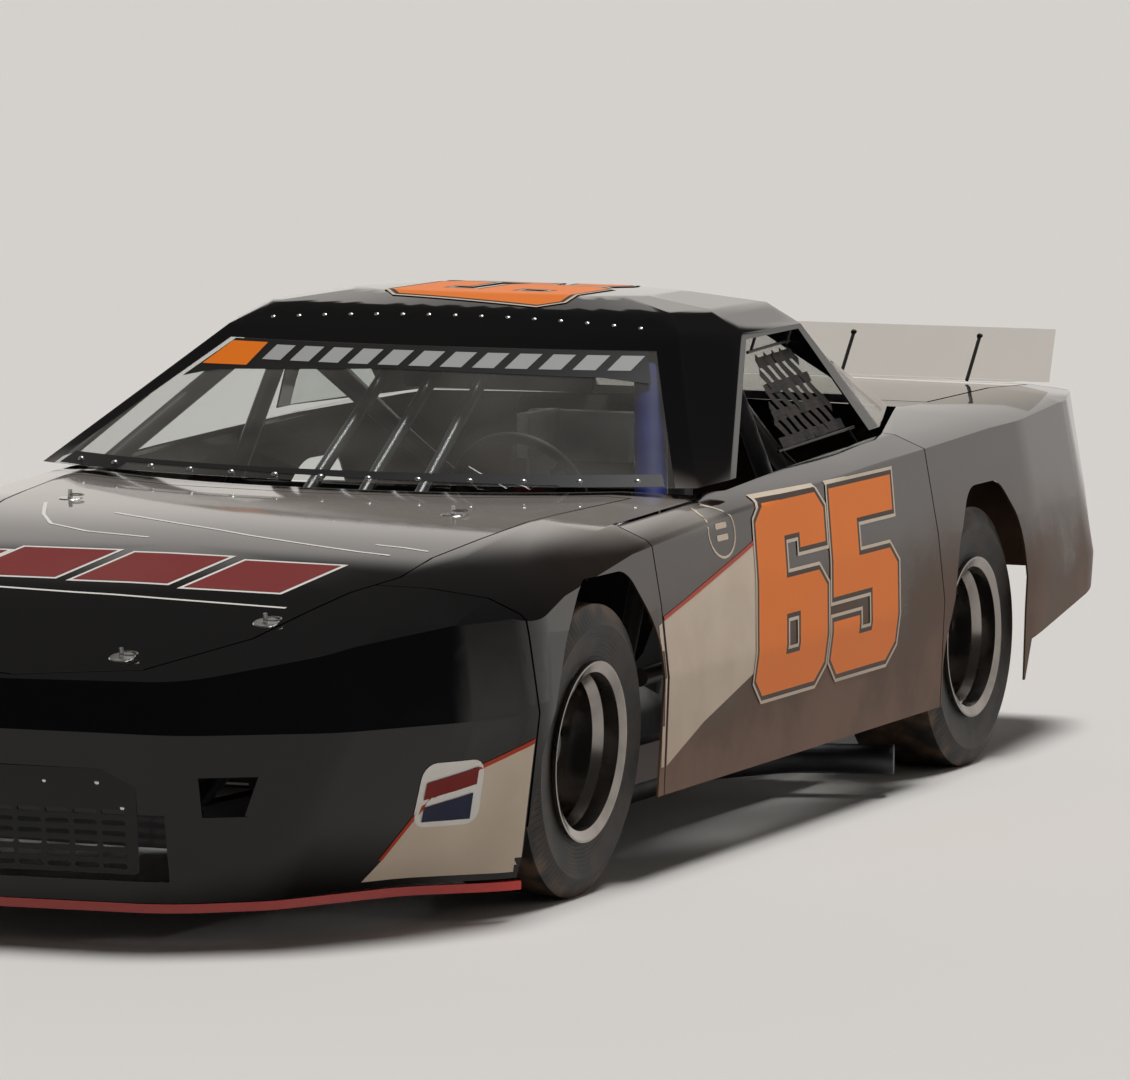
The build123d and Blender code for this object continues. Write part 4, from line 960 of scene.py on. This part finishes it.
CUSHION_CELLS = 12
CUSHION_EDGE = 0.30  # the share of its thickness that it keeps along its rim
CUSHION_SHOULDER = 0.22  # how far in from the rim it reaches full thickness


def cushion_height(s, t):
    # The share of its thickness at a place across and along it.
    rim = min(s, 1 - s, t, 1 - t)
    swell = math.sin(min(1.0, rim / CUSHION_SHOULDER) * math.pi / 2) ** 0.6 if rim > 0 else 0.0
    return CUSHION_EDGE + (1 - CUSHION_EDGE) * swell


def cushion(name, corners, thickness, material):
    # A crowned pad over four corners, its front face domed and its sides drawn in.
    form = bmesh.new()
    a, b, c, d = (Vector(corner) for corner in corners)
    outward = (b - a).cross(d - a).normalized()
    cells = CUSHION_CELLS
    sides = []
    for domed in (True, False):
        grid = []
        for i in range(cells + 1):
            row = []
            for j in range(cells + 1):
                s, t = i / cells, j / cells
                flat = a.lerp(b, s).lerp(d.lerp(c, s), t)
                row.append(form.verts.new(flat + outward * (thickness * cushion_height(s, t) if domed else 0.0)))
            grid.append(row)
        sides.append(grid)
        for i in range(cells):
            for j in range(cells):
                quad = (grid[i][j], grid[i + 1][j], grid[i + 1][j + 1], grid[i][j + 1])
                form.faces.new(quad if domed else quad[::-1])
    front, back = sides
    loop = [(i, 0) for i in range(cells)] + [(cells, j) for j in range(cells)]
    loop += [(i, cells) for i in range(cells, 0, -1)] + [(0, j) for j in range(cells, 0, -1)]
    for (i, j), (k, m) in zip(loop, loop[1:] + loop[:1]):
        form.faces.new((back[i][j], back[k][m], front[k][m], front[i][j]))
    bmesh.ops.recalc_face_normals(form, faces=form.faces[:])
    piece = make_piece(name, form, material, "chassis")


seat_cloth = padding("black_seat_cloth", "#151517")
# Up the leaning backrest and along the seat's floor, inside the aluminium shell: (half width, y, z) at both ends
SEAT_MID = 0.340
PAD_THICK = 0.035
for name, near, far in (
    ("seat_back_pad", (0.15, 0.165, 0.26), (0.16, 0.238, 0.86)),
    ("seat_base_pad", (0.15, -0.225, 0.215), (0.15, 0.125, 0.212)),
):
    corners = [(SEAT_MID - near[0], *near[1:]), (SEAT_MID + near[0], *near[1:])]
    corners += [(SEAT_MID + far[0], *far[1:]), (SEAT_MID - far[0], *far[1:])]
    cushion(name, corners, PAD_THICK, seat_cloth)


# Studio and camera


def set_camera():
    # The camera that was found for the photograph.
    camera = bpy.data.cameras.new("photograph")
    camera.sensor_width = SENSOR_MM
    camera.lens = FOCAL_PX * SENSOR_MM / PHOTO_WIDTH_PX
    camera.clip_end = CAMERA_REACH
    eye = bpy.data.objects.new("photograph", camera)
    bpy.context.collection.objects.link(eye)
    eye.location = CAMERA_PLACE
    turn = Matrix.Rotation(math.radians(CAMERA_AZIMUTH), 4, "Z")
    turn = turn @ Matrix.Rotation(math.radians(90 - CAMERA_ELEVATION), 4, "X")
    turn = turn @ Matrix.Rotation(math.radians(CAMERA_ROLL), 4, "Z")
    eye.rotation_euler = turn.to_euler()
    bpy.context.scene.camera = eye


def set_sun():
    # One soft sun, high and a little behind the car.
    light = bpy.data.lights.new("overhead_sun", "SUN")
    light.energy = SUN_STRENGTH
    light.angle = math.radians(SUN_SPREAD)
    made = bpy.data.objects.new("overhead_sun", light)
    bpy.context.collection.objects.link(made)
    made.location = SUN_FROM
    made.rotation_euler = (-Vector(SUN_FROM)).to_track_quat("-Z", "Y").to_euler()


def set_floor():
    # Pale floor to beyond the frame.
    floor = bmesh.new()
    bmesh.ops.create_grid(floor, x_segments=1, y_segments=1, size=FLOOR_HALF)
    mesh = bpy.data.meshes.new("studio_floor")
    floor.to_mesh(mesh)
    floor.free()
    ground = bpy.data.objects.new("studio_floor", mesh)
    bpy.context.collection.objects.link(ground)
    material, tree, output = new_material("pale_studio_floor")
    shader = add_node(tree, "ShaderNodeBsdfPrincipled", None, Base_Color=linear("#d8d5d1"), Roughness=0.9)
    finish_material(tree, output, shader)
    mesh.materials.append(material)


def set_room():
    # A dim room with a bright band low behind the car, which its panels reflect.
    world = bpy.data.worlds.new("studio_room")
    world.use_nodes = True
    bpy.context.scene.world = world
    tree = world.node_tree
    tree.nodes.clear()
    output = tree.nodes.new("ShaderNodeOutputWorld")
    way = add_node(tree, "ShaderNodeTexCoord").outputs["Generated"]
    axes = add_node(tree, "ShaderNodeSeparateXYZ", None, Vector=way)
    low = ramp(tree, axes.outputs["Z"], 0.50, 0.34)
    behind = ramp(tree, axes.outputs["Y"], -0.1, 0.7)
    strength = ramp(tree, reckon(tree, "MULTIPLY", low, behind), 0.0, 1.0, 0.05, 0.85)
    shell = add_node(tree, "ShaderNodeBackground", None, Color=linear("#fffaf4"), Strength=strength)
    tree.links.new(shell.outputs[0], output.inputs["Surface"])


set_camera()
set_floor()
set_room()
set_sun()
bpy.context.scene.view_settings.view_transform = "Standard"
bpy.context.view_layer.update()
